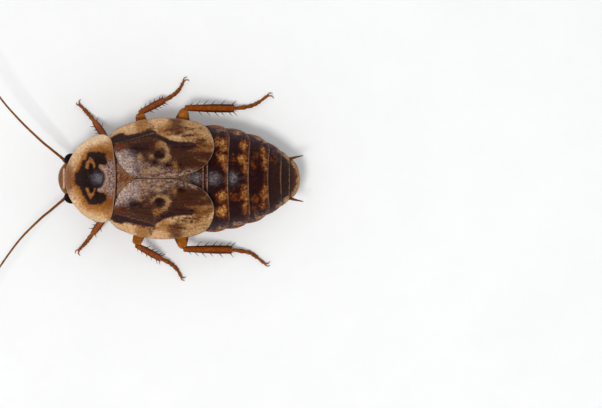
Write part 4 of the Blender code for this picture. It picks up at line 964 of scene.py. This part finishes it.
class StageSettings(bpy.types.PropertyGroup):
    floor_size: FloatProperty(name="Floor", description="Width of the card floor", default=4.0, unit="LENGTH")
    key_power: FloatProperty(name="Key light", description="Power of the light that throws the shadows",
                             default=4.7, unit="POWER")
    top_power: FloatProperty(name="Top light", description="Power of the soft light overhead",
                             default=0.32, unit="POWER")
    fill_power: FloatProperty(name="Fill light", description="Power of the broad light in the shadows",
                              default=1.3, unit="POWER")
    glint_power: FloatProperty(name="Glint", description="Power of the low light seen only in the gloss",
                               default=0.8, unit="POWER")
    camera_height: FloatProperty(name="Camera height", description="Height of the camera over the body",
                                 default=0.45, unit="LENGTH")


class ROACH_OT_shield(bpy.types.Operator):
    """Moulds the shield over the head and front legs"""
    bl_idname = "roach.shield"
    bl_label = "Shield"

    def execute(self, context):
        settings = context.scene.roach_shield
        outline = both_sides(SHIELD_HALF)[::-1]
        shield = horny_plate("shield", outline, SHIELD_CENTRE, shield_top, settings.wall / MM,
                             around=260, rings=96)
        x, y, _ = points_of(shield)
        for name, shapes in SHIELD_MARKINGS.items():
            mark(shield, name, marking_distance(x, y, **shapes))
        # The tan reaches further out on the left.
        inland = field_distance(x, y, SHIELD_INLAND) - 0.25 * np.clip(-y / 2, 0, 1)
        mark(shield, "inland", inland)
        mark(shield, "inner", inland + 0.2)
        inward = -field_distance(x, y, outline)
        mark(shield, "rear_line", np.where(x > -2.0, inward - 0.08, FAR))
        mark(shield, "rim_line", inward - 0.03)
        dress(shield, shield_finish(settings), "pronotum", "pronotum")
        return {"FINISHED"}


class ROACH_OT_wings(bpy.types.Operator):
    """Moulds the two short wings with their veins"""
    bl_idname = "roach.wings"
    bl_label = "Wings"

    def execute(self, context):
        settings = context.scene.roach_wings
        finish = wing_finish(settings)
        vein_height = settings.vein_height / MM

        def veined_top(x, y):
            side = np.abs(y)
            height = wing_top(x, y)
            for lines, share, half_width, count in WING_RELIEF:
                for line in lines:
                    away = line_distance(x, side, curve(line, np.linspace(0, 1, count)))
                    height = height + share * vein_height * np.exp(-(away / half_width) ** 2)
            return height

        for side, sign in SIDES.items():
            outline = [(x, sign * y) for x, y in WING_OUTLINE]
            centre = (WING_CENTRE[0], sign * WING_CENTRE[1])
            wing = horny_plate("wing_" + side, outline, centre, veined_top, settings.wall / MM,
                               around=320, rings=108)
            x, y, _ = points_of(wing)
            for name, shapes in WING_MARKINGS[side].items():
                mark(wing, name, marking_distance(x, y, **shapes))
            inward = -field_distance(x, y, outline)
            y = sign * y
            for name, shapes in WING_ZONES.items():
                mark(wing, name, marking_distance(x, y, **shapes))
            mark(wing, "cream", profile(CREAM_BORDER, x) - y)
            # A painted highlight on the inner front, inside the margin.
            mark(wing, "bright", np.maximum(inward - 0.5, box_distance(x, y, x_max=0.3, y_max=3.0)))
            mark(wing, "margin", inward - 0.05)
            dress(wing, finish, "wing", "wing_" + side)
        return {"FINISHED"}


def trunk_roof(x, y):
    """Height of the trunk's back, just under the shield or the wings."""
    covered = np.clip((x - SHIELD_REAR + 0.2) / 0.8, 0, 1)
    under_wing = wing_top(x, y) - WING_GAP - TRUNK_SINK * np.clip((x - TRUNK_SINK_X) / 1.2, 0, 1)
    return (shield_top(x, y) - SHIELD_GAP) * (1 - covered) + under_wing * covered


class ROACH_OT_trunk(bpy.types.Operator):
    """Moulds the neck and the trunk between the legs"""
    bl_idname = "roach.trunk"
    bl_label = "Trunk"

    def execute(self, context):
        rings = 120

        def place(turn, ring):
            share = 0.5 - 0.5 * np.cos(ring / rings * math.pi)
            x = TRUNK_FRONT + (TRUNK_REAR - TRUNK_FRONT) * share
            closing = np.sqrt(np.clip(np.minimum(share, 1 - share) / 0.01, 0, 1))
            across, up = np.cos(turn * TAU), np.sin(turn * TAU)
            edge = profile(TRUNK_EDGE, x)
            y = profile(TRUNK_WIDTH, x) * across * closing
            fill = np.clip(1 - np.abs(across) ** 4, 0, 1) ** 0.75 * closing
            limit = np.where(up >= 0, trunk_roof(x, y), profile(TRUNK_BELLY, x))
            return x, y, edge + (limit - edge) * fill

        trunk = moulded("trunk", 144, rings, place)
        x, y, z = points_of(trunk)
        side = np.abs(y)
        half_width = profile(SCUTUM, np.clip(x, SCUTUM[0][0], SCUTUM[-1][0]))
        low = TRUNK_BACK_LEVEL - z
        mark(trunk, "back", low)
        mark(trunk, "scutum", np.maximum(side - half_width - 0.5, np.maximum(x - 0.6, low)))
        mark(trunk, "scutum_middle", np.maximum(side - half_width * 0.62, np.maximum(x - 0.5, low)))
        # Two raised lines by the shield's rear edge, and before them painted shadow in the gap under it.
        mark(trunk, "ridge", np.maximum(np.abs(np.abs(x + 1.12) - 0.12) - 0.04, low))
        mark(trunk, "seam", np.maximum(np.abs(x + 1.38) - 0.06, low))
        dress(trunk, trunk_finish(), "thorax", "thorax")
        return {"FINISHED"}


class ROACH_OT_abdomen(bpy.types.Operator):
    """Moulds the abdomen's overlapping plates"""
    bl_idname = "roach.abdomen"
    bl_label = "Abdomen"

    def execute(self, context):
        settings = context.scene.roach_body
        stations, lifts, bulges = [ABDOMEN_FRONT], [0.0], [0.0]
        front = ABDOMEN_FRONT
        for rear in PLATE_REARS:
            for share in np.linspace(0, 1, PLATE_RINGS):
                stations.append(front + PLATE_LIP + (rear - front - PLATE_LIP) * share)
                # Short plates rise and bulge less.
                lifts.append(PLATE_STEP * min(1, (rear - front) / 1.2) * share**1.6)
                swell = math.sin(math.pi * share**1.3) ** 0.7
                bulges.append(PLATE_BULGE * min(1, (rear - front) / 1.5) * swell)
            front = rear
        stations = np.array([*stations, PLATE_REARS[-1]])
        lifts, bulges = np.array([*lifts, 0.0]), np.array([*bulges, 0.0])
        rings = len(stations) - 1
        tail = PLATE_REARS[-1] - TAIL_LENGTH

        def place(turn, ring):
            x, lift = stations[ring], lifts[ring]
            lift = lift * np.clip((PLATE_REARS[-1] - x) / 0.5, 0, 1)
            closing = np.where((ring == 0) | (ring == rings), 0.0, 1.0)
            taper = np.sqrt(np.clip(1 - (np.clip(x - tail, 0, None) / 0.72) ** 2, 0, 1))
            across, up = np.cos(turn * TAU), np.sin(turn * TAU)
            width = (profile(ABDOMEN_WIDTH, x) + lift * 0.25 + bulges[ring]) * closing
            edge = profile(ABDOMEN_EDGE, x)
            back = profile(ABDOMEN_BACK, x) + lift
            belly = profile(ABDOMEN_BELLY, x) - lift * 0.4
            fill = np.clip(1 - across**2, 0, 1) ** 0.75 * closing
            y = width * across
            thinning = np.where(x > tail, 0.3 + 0.7 * taper, 1)
            z = edge + (np.where(up >= 0, back, belly) - edge) * fill * thinning
            z = z + RIDGE_HEIGHT * np.exp(-(y / RIDGE_WIDTH) ** 2) * (up > 0) * fill
            return x + plate_bow(x, across) * closing, y, z

        abdomen = moulded("abdomen", 200, rings, place)
        x, y, z = points_of(abdomen)
        side = np.abs(y)
        half_width = profile(ABDOMEN_WIDTH, x)
        straight = x - plate_bow(x, np.clip(side / np.maximum(half_width, 0.1), 0, 1))
        # How far each point lies in front of the next rear margin, and how far past the last one.
        margins = np.array(PLATE_REARS[:-1])[:, None]
        within = straight <= margins + 1e-4
        before = np.where(within, margins - straight, FAR).min(axis=0)
        past = np.where(within, FAR, straight - margins).min(axis=0)
        for name, shapes in PLATE_MARKINGS.items():
            mark(abdomen, name, np.where(z > BACK_LEVEL, marking_distance(x, y, **shapes), FAR))
        # The lines along the margins and the sides, each by its width, and some by where they end along X.
        # A painted shadow just behind each rear margin, under the plate before it.
        mark(abdomen, "shade", past - 0.12)
        inward = -field_distance(x, y, both_sides(ABDOMEN_WIDTH))
        mark(abdomen, "flank", inward - 0.9)
        mark(abdomen, "side", inward - 0.4)
        mark(abdomen, "side_rim", np.where(x < 16, inward - 0.1, FAR))
        mark(abdomen, "lip", np.maximum(before - 0.3, x - 14.6))
        mark(abdomen, "rear_plates", box_distance(x, side, x_min=14.5, y_max=2.2))
        edge = np.maximum(before - 0.07, BACK_LEVEL - z)
        mark(abdomen, "edge", edge)
        # The lips' line is paler by the middle line as painted highlight.
        mark(abdomen, "edge_middle", np.maximum(edge, box_distance(x, side, x_max=13, y_max=1.3)))
        mark(abdomen, "tail", np.maximum(17.0 - x, inward - 0.75))
        mark(abdomen, "tail_rim", np.where(x > 16.3, inward - 0.27, FAR))
        mark(abdomen, "belly", z - BELLY_LEVEL)
        dress(abdomen, back_plate_finish(settings), "abdomen", "abdomen")
        return {"FINISHED"}


class ROACH_OT_head(bpy.types.Operator):
    """Moulds the head, its jaws and its mouth feelers"""
    bl_idname = "roach.head"
    bl_label = "Head"

    def execute(self, context):
        rings = 60
        table = np.array(HEAD_LEVELS)

        def place(turn, ring):
            share = ring / rings
            height, half_width, front, back = curve(table, share).T
            closing = np.sqrt(np.clip(np.minimum(share, 1 - share) / 0.06, 0, 1))
            across, ahead = np.sin(turn * TAU), np.cos(turn * TAU)
            widest = back - HEAD_WIDEST * (back - front)
            reach = np.where(ahead < 0, widest - front, back - widest)
            x = widest + reach * closing * ahead
            y = half_width * closing * across
            z = height + 0.05 * (1 - closing) * np.where(share < 0.5, 1, -1)
            return x, y, z

        head = moulded("head_shell", 120, rings, place)
        x, y, z = points_of(head)
        # A band across the face is darker, and the front slope, turned away from the light, is painted darker
        # as shade.
        face = np.clip((3.4 - z) / 0.8, 0, 1) * np.clip((z - 1.9) / 0.5, 0, 1) * 0.6
        darken(head, np.maximum(face, np.clip((-7.2 - x) / 0.3, 0, 1) * 0.45))
        # A painted highlight along the crown.
        crown = box_distance(x, np.abs(y), x_min=-7.02, x_max=-6.84, y_max=1.05)
        mark(head, "sheen", np.maximum(crown, 4.0 - z))
        shells = []
        for name, (centre, radii) in FACE_PIECES.items():
            shell = ball(name, centre, radii, segments=32, rings=20)
            darken(shell, 0.5 if name != "labrum" else 0.2)
            mark(shell, "sheen", FAR)
            shells.append(shell)
        finish = head_finish()
        dress(joined("head", [head, *shells]), finish, "head", "head")
        feelers = []
        for sign in SIDES.values():
            for name, (path, radius, segments) in MOUTH_FEELERS.items():
                points = [(px, sign * py, pz) for px, py, pz in path]

                def size(share, radius=radius, segments=segments):
                    within = share * segments % 1
                    swell = radius * (0.72 + 0.42 * np.sin(within * math.pi * 0.8))
                    return swell, swell

                feelers.append(tube(f"{name}_feeler", points, size, 16, 60, upright=(1, 0.3, 0)))
        finish = plain_finish("Mouth feeler horn", "#9a6a3a", "#7d4f26", 0.4, 0.3, 0.3, 0.1)
        dress(joined("mouth_feelers", feelers), finish, "palp", "palp_right", "palp_left")
        return {"FINISHED"}


class ROACH_OT_eyes(bpy.types.Operator):
    """Adds the two compound eyes"""
    bl_idname = "roach.eyes"
    bl_label = "Eyes"

    def execute(self, context):
        finish = eye_finish()
        x, y, z = EYE_CENTRE
        for side, sign in SIDES.items():
            eye = ball("facet_eye_" + side, (x, sign * y, z), EYE_RADII, segments=64, rings=40)
            dress(eye, finish, "eye", "eye_" + side)
        return {"FINISHED"}


class ROACH_OT_antennae(bpy.types.Operator):
    """Models the two ringed antennae"""
    bl_idname = "roach.antennae"
    bl_label = "Antennae"

    def execute(self, context):
        settings = context.scene.roach_feelers
        root, tip, count = settings.root_radius / MM, settings.tip_radius / MM, settings.rings
        finish = plain_finish("Antenna horn", "#a4672f", "#8c4f1e", 0.42, 0.06, 0.3, 0.0, "#2a1004")
        steps = 5

        def size(share):
            thick = root + (tip - root) * share**0.8
            thick = thick * np.where(share < SCAPE_END, 1.3, np.where(share < SECOND_END, 1.1, 1))
            within = share * count % 1
            swell = thick * (0.9 + 0.16 * np.sin(within * math.pi))
            return swell, swell

        for side in SIDES:
            antenna = tube("antenna_" + side, ANTENNA_PATHS[side], size, 12, count * steps, rounding=0.004)
            _, y, _ = points_of(antenna)
            path = curve(ANTENNA_PATHS[side], np.linspace(0, 1, count * steps + 1))
            nearest = np.argmin(np.abs(path[:, 1][None, :] - y[:, None]), axis=1)
            darken(antenna, np.where(nearest % steps < 2, 0.8, 0.1))
            nodes = [f"antenna_{side}_{part}" for part in ("scape", "whip", "tip")]
            dress(antenna, finish, "antenna", *nodes)
        return {"FINISHED"}


class ROACH_OT_cerci(bpy.types.Operator):
    """Models the two ringed tail feelers"""
    bl_idname = "roach.cerci"
    bl_label = "Tail feelers"

    def execute(self, context):
        finish = plain_finish("Tail feeler horn", "#8a5226", "#6b3a18", 0.4, 0.12, 0.2, 0.05)

        def size(share):
            within = share * CERCUS_RINGS % 1
            swell = (CERCUS_RADIUS - CERCUS_TAPER * share) * (0.88 + 0.18 * np.sin(within * math.pi))
            return swell, swell * 0.75

        for side, sign in SIDES.items():
            ends = np.array([CERCUS_ROOT, CERCUS_TIP]) * (1, sign, 1)
            middle = ends.mean(axis=0) + (0, sign * 0.04, 0.03)
            cercus = tube("tail_feeler_" + side, [ends[0], middle, ends[1]], size, 20, 90, rounding=0.02)
            dress(cercus, finish, "cercus", "cercus_" + side)
        return {"FINISHED"}


def sized(sizes):
    """A tube's half width and half depth from a few (across, deep) at even steps."""
    steps = np.linspace(0, 1, len(sizes))
    return lambda share: tuple(profile([*zip(steps, column)], share) for column in zip(*sizes))


def foot_size(share):
    """Five foot segments, each wider at its far end, and the last long and slim."""
    ends = np.array(FOOT_ENDS)
    k = np.clip(np.searchsorted(ends, share, side="right") - 1, 0, 4)
    within = (share - ends[k]) / (ends[k + 1] - ends[k])
    flare = np.where(k < 4, 0.17 + 0.09 * within**1.5, 0.13 + 0.07 * within) * (1.08 - 0.2 * share)
    return flare * np.where(within > 0.93, 0.75, 1), flare * 0.85


def claw_size(share):
    """A claw thins towards its point."""
    radius = 0.1 * (1 - 0.8 * share)
    return radius, radius


def off_line(x, y, start, end):
    """Distance in mm from (x, y) to the straight line through two points, seen from above."""
    along = np.array(end[:2]) - start[:2]
    along /= np.linalg.norm(along)
    return np.abs((x - start[0]) * along[1] - (y - start[1]) * along[0])


def foot_joints_and_flank_shade(places, path):
    """How dark each point of a foot is: darker horn at its joints, and painted shade on its two flanks."""
    x, y, _ = places
    away = np.hypot(x[:, None] - path[None, :, 0], y[:, None] - path[None, :, 1])
    share = np.argmin(away, axis=1) / (len(path) - 1)
    to_joint = np.min([np.abs(share - end) for end in FOOT_ENDS[1:-1]], axis=0)
    return np.clip(0.75 - to_joint / 0.03, 0, 0.75) + np.clip((away.min(axis=1) - 0.09) / 0.12, 0, 0.5)


def cone_at(root, lean, length, radius):
    """A slim spine of eight sides, added and turned to lie along lean."""
    turn = lean.to_track_quat("Z", "Y").to_euler()
    middle = (root + lean * length / 2) * MM
    bpy.ops.mesh.primitive_cone_add(vertices=8, radius1=radius * MM, radius2=radius * 0.12 * MM,
                                    depth=length * MM, location=middle, rotation=turn)
    bpy.ops.object.transform_apply(location=True, rotation=True, scale=True)
    spine = bpy.context.active_object
    # A cone's points are added in pairs, one at the root and one at the darker tip.
    darken(spine, np.where(np.arange(len(spine.data.vertices)) % 2 == 0, 0.25, 1.0))
    return spine


def tibia_spines(pair, side_sign, knee, ankle, radius, draw):
    """Spines in two rows that lean towards the foot, and spurs at the ankle."""
    ahead = (ankle - knee).normalized()
    away = Vector((0, 0, 1)).cross(ahead).normalized() * side_sign
    outer, inner, mean = SPINES[pair]
    half_width = sized(LEG_SHAPES[pair]["tibia"])
    spines = []
    for direction, shares in ((1, outer), (-1, inner)):
        for i, share in enumerate(shares):
            outward = (away * direction + Vector((0, 0, 0.3 * (-1) ** i))).normalized()
            lean = (ahead * math.cos(SPINE_LEAN) + outward * math.sin(SPINE_LEAN)).normalized()
            # Each spine is rooted a little inside the tibia's edge.
            edge = float(half_width(np.array([share]))[0][0])
            root = knee.lerp(ankle, share) + away * direction * edge * 0.75
            # The first spine of the outer edge, by the knee, is small.
            small = 0.6 if direction > 0 and share < 0.15 else 1.0
            spines.append(cone_at(root, lean, mean * small * draw.uniform(0.9, 1.15) + 0.1, radius))
    for angle in SPUR_ANGLES:
        lean = (ahead + away * math.sin(angle) * 0.8 + Vector((0, 0, -0.3 * math.cos(angle)))).normalized()
        root = knee.lerp(ankle, 0.97) + away * math.sin(angle) * 0.16
        spines.append(cone_at(root, lean, mean * draw.uniform(0.6, 0.85), radius * 0.9))
    return spines


def bristles(name, knee, ankle, foot, count, length, draw):
    """Fine bristles, each a slim three-sided spike, along the tibia and the foot."""
    verts, faces = [], []
    # The line along tibia and foot is cut into steps. Bristles start after the knee, and the foot is slimmer.
    steps, first, at_foot = 59, 4, 34
    line = [Vector(p) for p in curve([knee, ankle, *foot], np.linspace(0, 1, steps + 1))]
    for _ in range(count):
        at = draw.uniform(first, steps - 1)
        i = int(at)
        point = line[i].lerp(line[i + 1], at - i)
        ahead = (line[i + 1] - line[i]).normalized()
        side = ahead.cross(Vector((0, 0, 1))).normalized()
        up = side.cross(ahead)
        angle = draw.uniform(-0.35, math.pi + 0.35)
        outward = side * math.cos(angle) + up * math.sin(angle)
        thick = 0.1 if at > at_foot else 0.2
        root = point + outward * thick
        tip = root + (outward * 0.8 + ahead * 0.7).normalized() * length * draw.uniform(0.6, 1.3)
        base = len(verts)
        for k in range(3):
            spread = TAU * k / 3
            corner = side * math.cos(spread) + ahead * math.sin(spread)
            verts.append((root + corner * BRISTLE_RADIUS) * MM)
        verts.append(tip * MM)
        faces += [(base, base + 1, base + 3), (base + 1, base + 2, base + 3), (base + 2, base, base + 3),
                  (base + 2, base + 1, base)]
    mesh = bpy.data.meshes.new(name)
    mesh.from_pydata(verts, [], faces)
    piece = bpy.data.objects.new(name, mesh)
    bpy.context.scene.collection.objects.link(piece)
    deselect()
    piece.select_set(True)
    face_outwards(piece)
    return piece


class ROACH_OT_legs(bpy.types.Operator):
    """Models the six legs with their spines, claws and bristles"""
    bl_idname = "roach.legs"
    bl_label = "Legs"

    def execute(self, context):
        settings = context.scene.roach_legs
        draw = random.Random(11)
        horn = {name: plain_finish(name + " horn", *look) for name, look in LEG_HORN.items()}
        for leg, points in LEG_POINTS.items():
            pair, side = leg.split("_")
            shape = LEG_SHAPES[pair]
            hip, trochanter, knee, ankle = (points[key] for key in ("hip", "trochanter", "knee", "ankle"))
            coxa = tube("hip_" + leg, [hip, trochanter], sized(shape["coxa"]), 32, 40, rounding=0.12)
            # Darker horn by the knees and claw tips; painted shade under the hips and along the flanks.
            _, _, z = points_of(coxa)
            darken(coxa, np.clip((1.75 - z) / 0.4, 0, 0.6))
            dress(coxa, horn["Hip"], "coxa", "coxa_" + leg)
            femur = tube("thigh_" + leg, [trochanter, knee], sized(shape["femur"]), 36, 60, rounding=0.07)
            x, y, _ = points_of(femur)
            by_knee = np.clip(1 - np.hypot(x - knee[0], y - knee[1]) / 0.7, 0, 1) * 0.7
            # Painted shade along the thigh's flanks.
            flank = np.clip((off_line(x, y, trochanter, knee) - 0.3) / 0.3, 0, 0.7)
            darken(femur, np.maximum(by_knee, flank))
            dress(femur, horn["Thigh"], "femur", "femur_" + leg)
            tibia = tube("shin_" + leg, [knee, ankle], sized(shape["tibia"]), 32, 60, rounding=0.03)
            x, y, _ = points_of(tibia)
            # Painted shade along the shin's flanks.
            darken(tibia, np.clip((off_line(x, y, knee, ankle) - 0.12) / 0.2, 0, 1) * 0.85)
            dress(tibia, horn["Shin"], "tibia", "tibia_" + leg)
            deselect()
            spines = tibia_spines(pair, SIDES[side], Vector(knee), Vector(ankle), settings.spine_radius / MM,
                                  draw)
            spiny = joined("spines_" + leg, spines)
            spiny.data.shade_smooth()
            dress(spiny, horn["Spine"], "tibia")
            path, rings = [ankle, *points["foot"]], 110
            foot = tube("foot_shell_" + leg, path, foot_size, 24, rings, rounding=0.02)
            darken(foot, foot_joints_and_flank_shade(points_of(foot), curve(path, np.linspace(0, 1, rings + 1))))
            end = Vector(path[-1])
            ahead = (end - Vector(path[-2])).normalized()
            pad = tube("pad", [end, end + ahead * 0.2], sized([(0.09, 0.07)] * 3), 12, 12, rounding=0.5)
            darken(pad, 0.4)
            parts = [foot, pad]
            for tip in points["claws"]:
                tip = Vector(tip)
                chord = (tip - end).normalized()
                bow = Vector((-chord.y, chord.x, 0)) * SIDES[side] * CLAW_BOW
                bend = end.lerp(tip, 0.55) + bow + Vector((0, 0, 0.12))
                claw = tube("claw", [end - ahead * 0.05, bend, tip], claw_size, 12, 24)
                x, y, _ = points_of(claw)
                darken(claw, np.clip(1.0 - np.hypot(x - tip.x, y - tip.y) / 0.25, 0, 0.9))
                parts.append(claw)
            dress(joined("tarsus_" + leg, parts), horn["Foot"], "foot", "foot_" + leg)
            fine = bristles("bristles_" + leg, knee, ankle, points["foot"], settings.bristles,
                            settings.bristle_length / MM, draw)
            dress(fine, horn["Bristle"], "tibia")
        return {"FINISHED"}


class ROACH_OT_stage(bpy.types.Operator):
    """Sets the pale floor, the soft studio light and the camera"""
    bl_idname = "roach.stage"
    bl_label = "Stage"

    def execute(self, context):
        settings = context.scene.roach_stage
        scene = context.scene
        deselect()
        bpy.ops.mesh.primitive_plane_add(size=settings.floor_size, location=(0, 0, 0))
        floor = context.active_object
        floor.name = "floor"
        floor.data.materials.append(card_finish())
        for name, (width, spot, tint, glossy, diffuse) in LIGHTS.items():
            bpy.ops.object.light_add(type="AREA", location=spot)
            lamp = context.active_object
            lamp.name = name + "_light"
            lamp.data.energy = getattr(settings, name + "_power")
            lamp.data.size = width
            lamp.data.color = tint
            lamp.visible_glossy = glossy
            lamp.visible_diffuse = diffuse
            lamp.visible_camera = False
            lamp.rotation_euler = (Vector(LIGHTS_AIM) - lamp.location).to_track_quat("-Z", "Y").to_euler()
        world = bpy.data.worlds.new("studio")
        world.use_nodes = True
        tree = world.node_tree
        sky = tree.nodes["Background"]
        sky.inputs["Color"].default_value = SKY_COLOUR
        way = node(tree, "TexCoord").outputs["Generated"]
        height = node(tree, "SeparateXYZ", {"Vector": way}).outputs["Z"]
        strength = node(tree, "MapRange", {"Value": height, "To Min": HORIZON_GLOW, "To Max": ZENITH_GLOW})
        tree.links.new(strength.outputs[0], sky.inputs["Strength"])
        scene.world = world
        scene.view_settings.view_transform = "Standard"
        x, y = (c * MM for c in VIEW_CENTRE)
        bpy.ops.object.camera_add(location=(x, y, settings.camera_height + BODY_HEIGHT), rotation=(0, 0, 0))
        camera = context.active_object
        camera.name = "camera"
        camera.data.sensor_width = SENSOR_WIDTH
        camera.data.lens = SENSOR_WIDTH * settings.camera_height / (VIEW_WIDTH * MM)
        scene.camera = camera
        return {"FINISHED"}


OPERATORS = (ROACH_OT_shield, ROACH_OT_wings, ROACH_OT_trunk, ROACH_OT_abdomen, ROACH_OT_head, ROACH_OT_eyes,
             ROACH_OT_antennae, ROACH_OT_cerci, ROACH_OT_legs, ROACH_OT_stage)
SETTINGS = {"roach_shield": ShieldSettings, "roach_wings": WingSettings, "roach_body": BodySettings,
            "roach_feelers": FeelerSettings, "roach_legs": LegSettings, "roach_stage": StageSettings}


class ROACH_PT_sidebar(bpy.types.Panel):
    """Lists the steps and their settings"""
    bl_idname = "ROACH_PT_sidebar"
    bl_label = "Museum Roach"
    bl_space_type = "VIEW_3D"
    bl_region_type = "UI"
    bl_category = "Roach"

    def draw(self, context):
        for operator in OPERATORS:
            self.layout.operator(operator.bl_idname)
        for name, group in SETTINGS.items():
            box = self.layout.box()
            for key in group.__annotations__:
                box.prop(getattr(context.scene, name), key)


def register():
    for kind in (*SETTINGS.values(), *OPERATORS, ROACH_PT_sidebar):
        bpy.utils.register_class(kind)
    for name, group in SETTINGS.items():
        setattr(bpy.types.Scene, name, PointerProperty(type=group))


def unregister():
    for name in SETTINGS:
        delattr(bpy.types.Scene, name)
    for kind in (ROACH_PT_sidebar, *reversed(OPERATORS), *SETTINGS.values()):
        bpy.utils.unregister_class(kind)


def main():
    register()
    for operator in OPERATORS:
        group, name = operator.bl_idname.split(".")
        getattr(getattr(bpy.ops, group), name)()


if __name__ == "__main__":
    main()
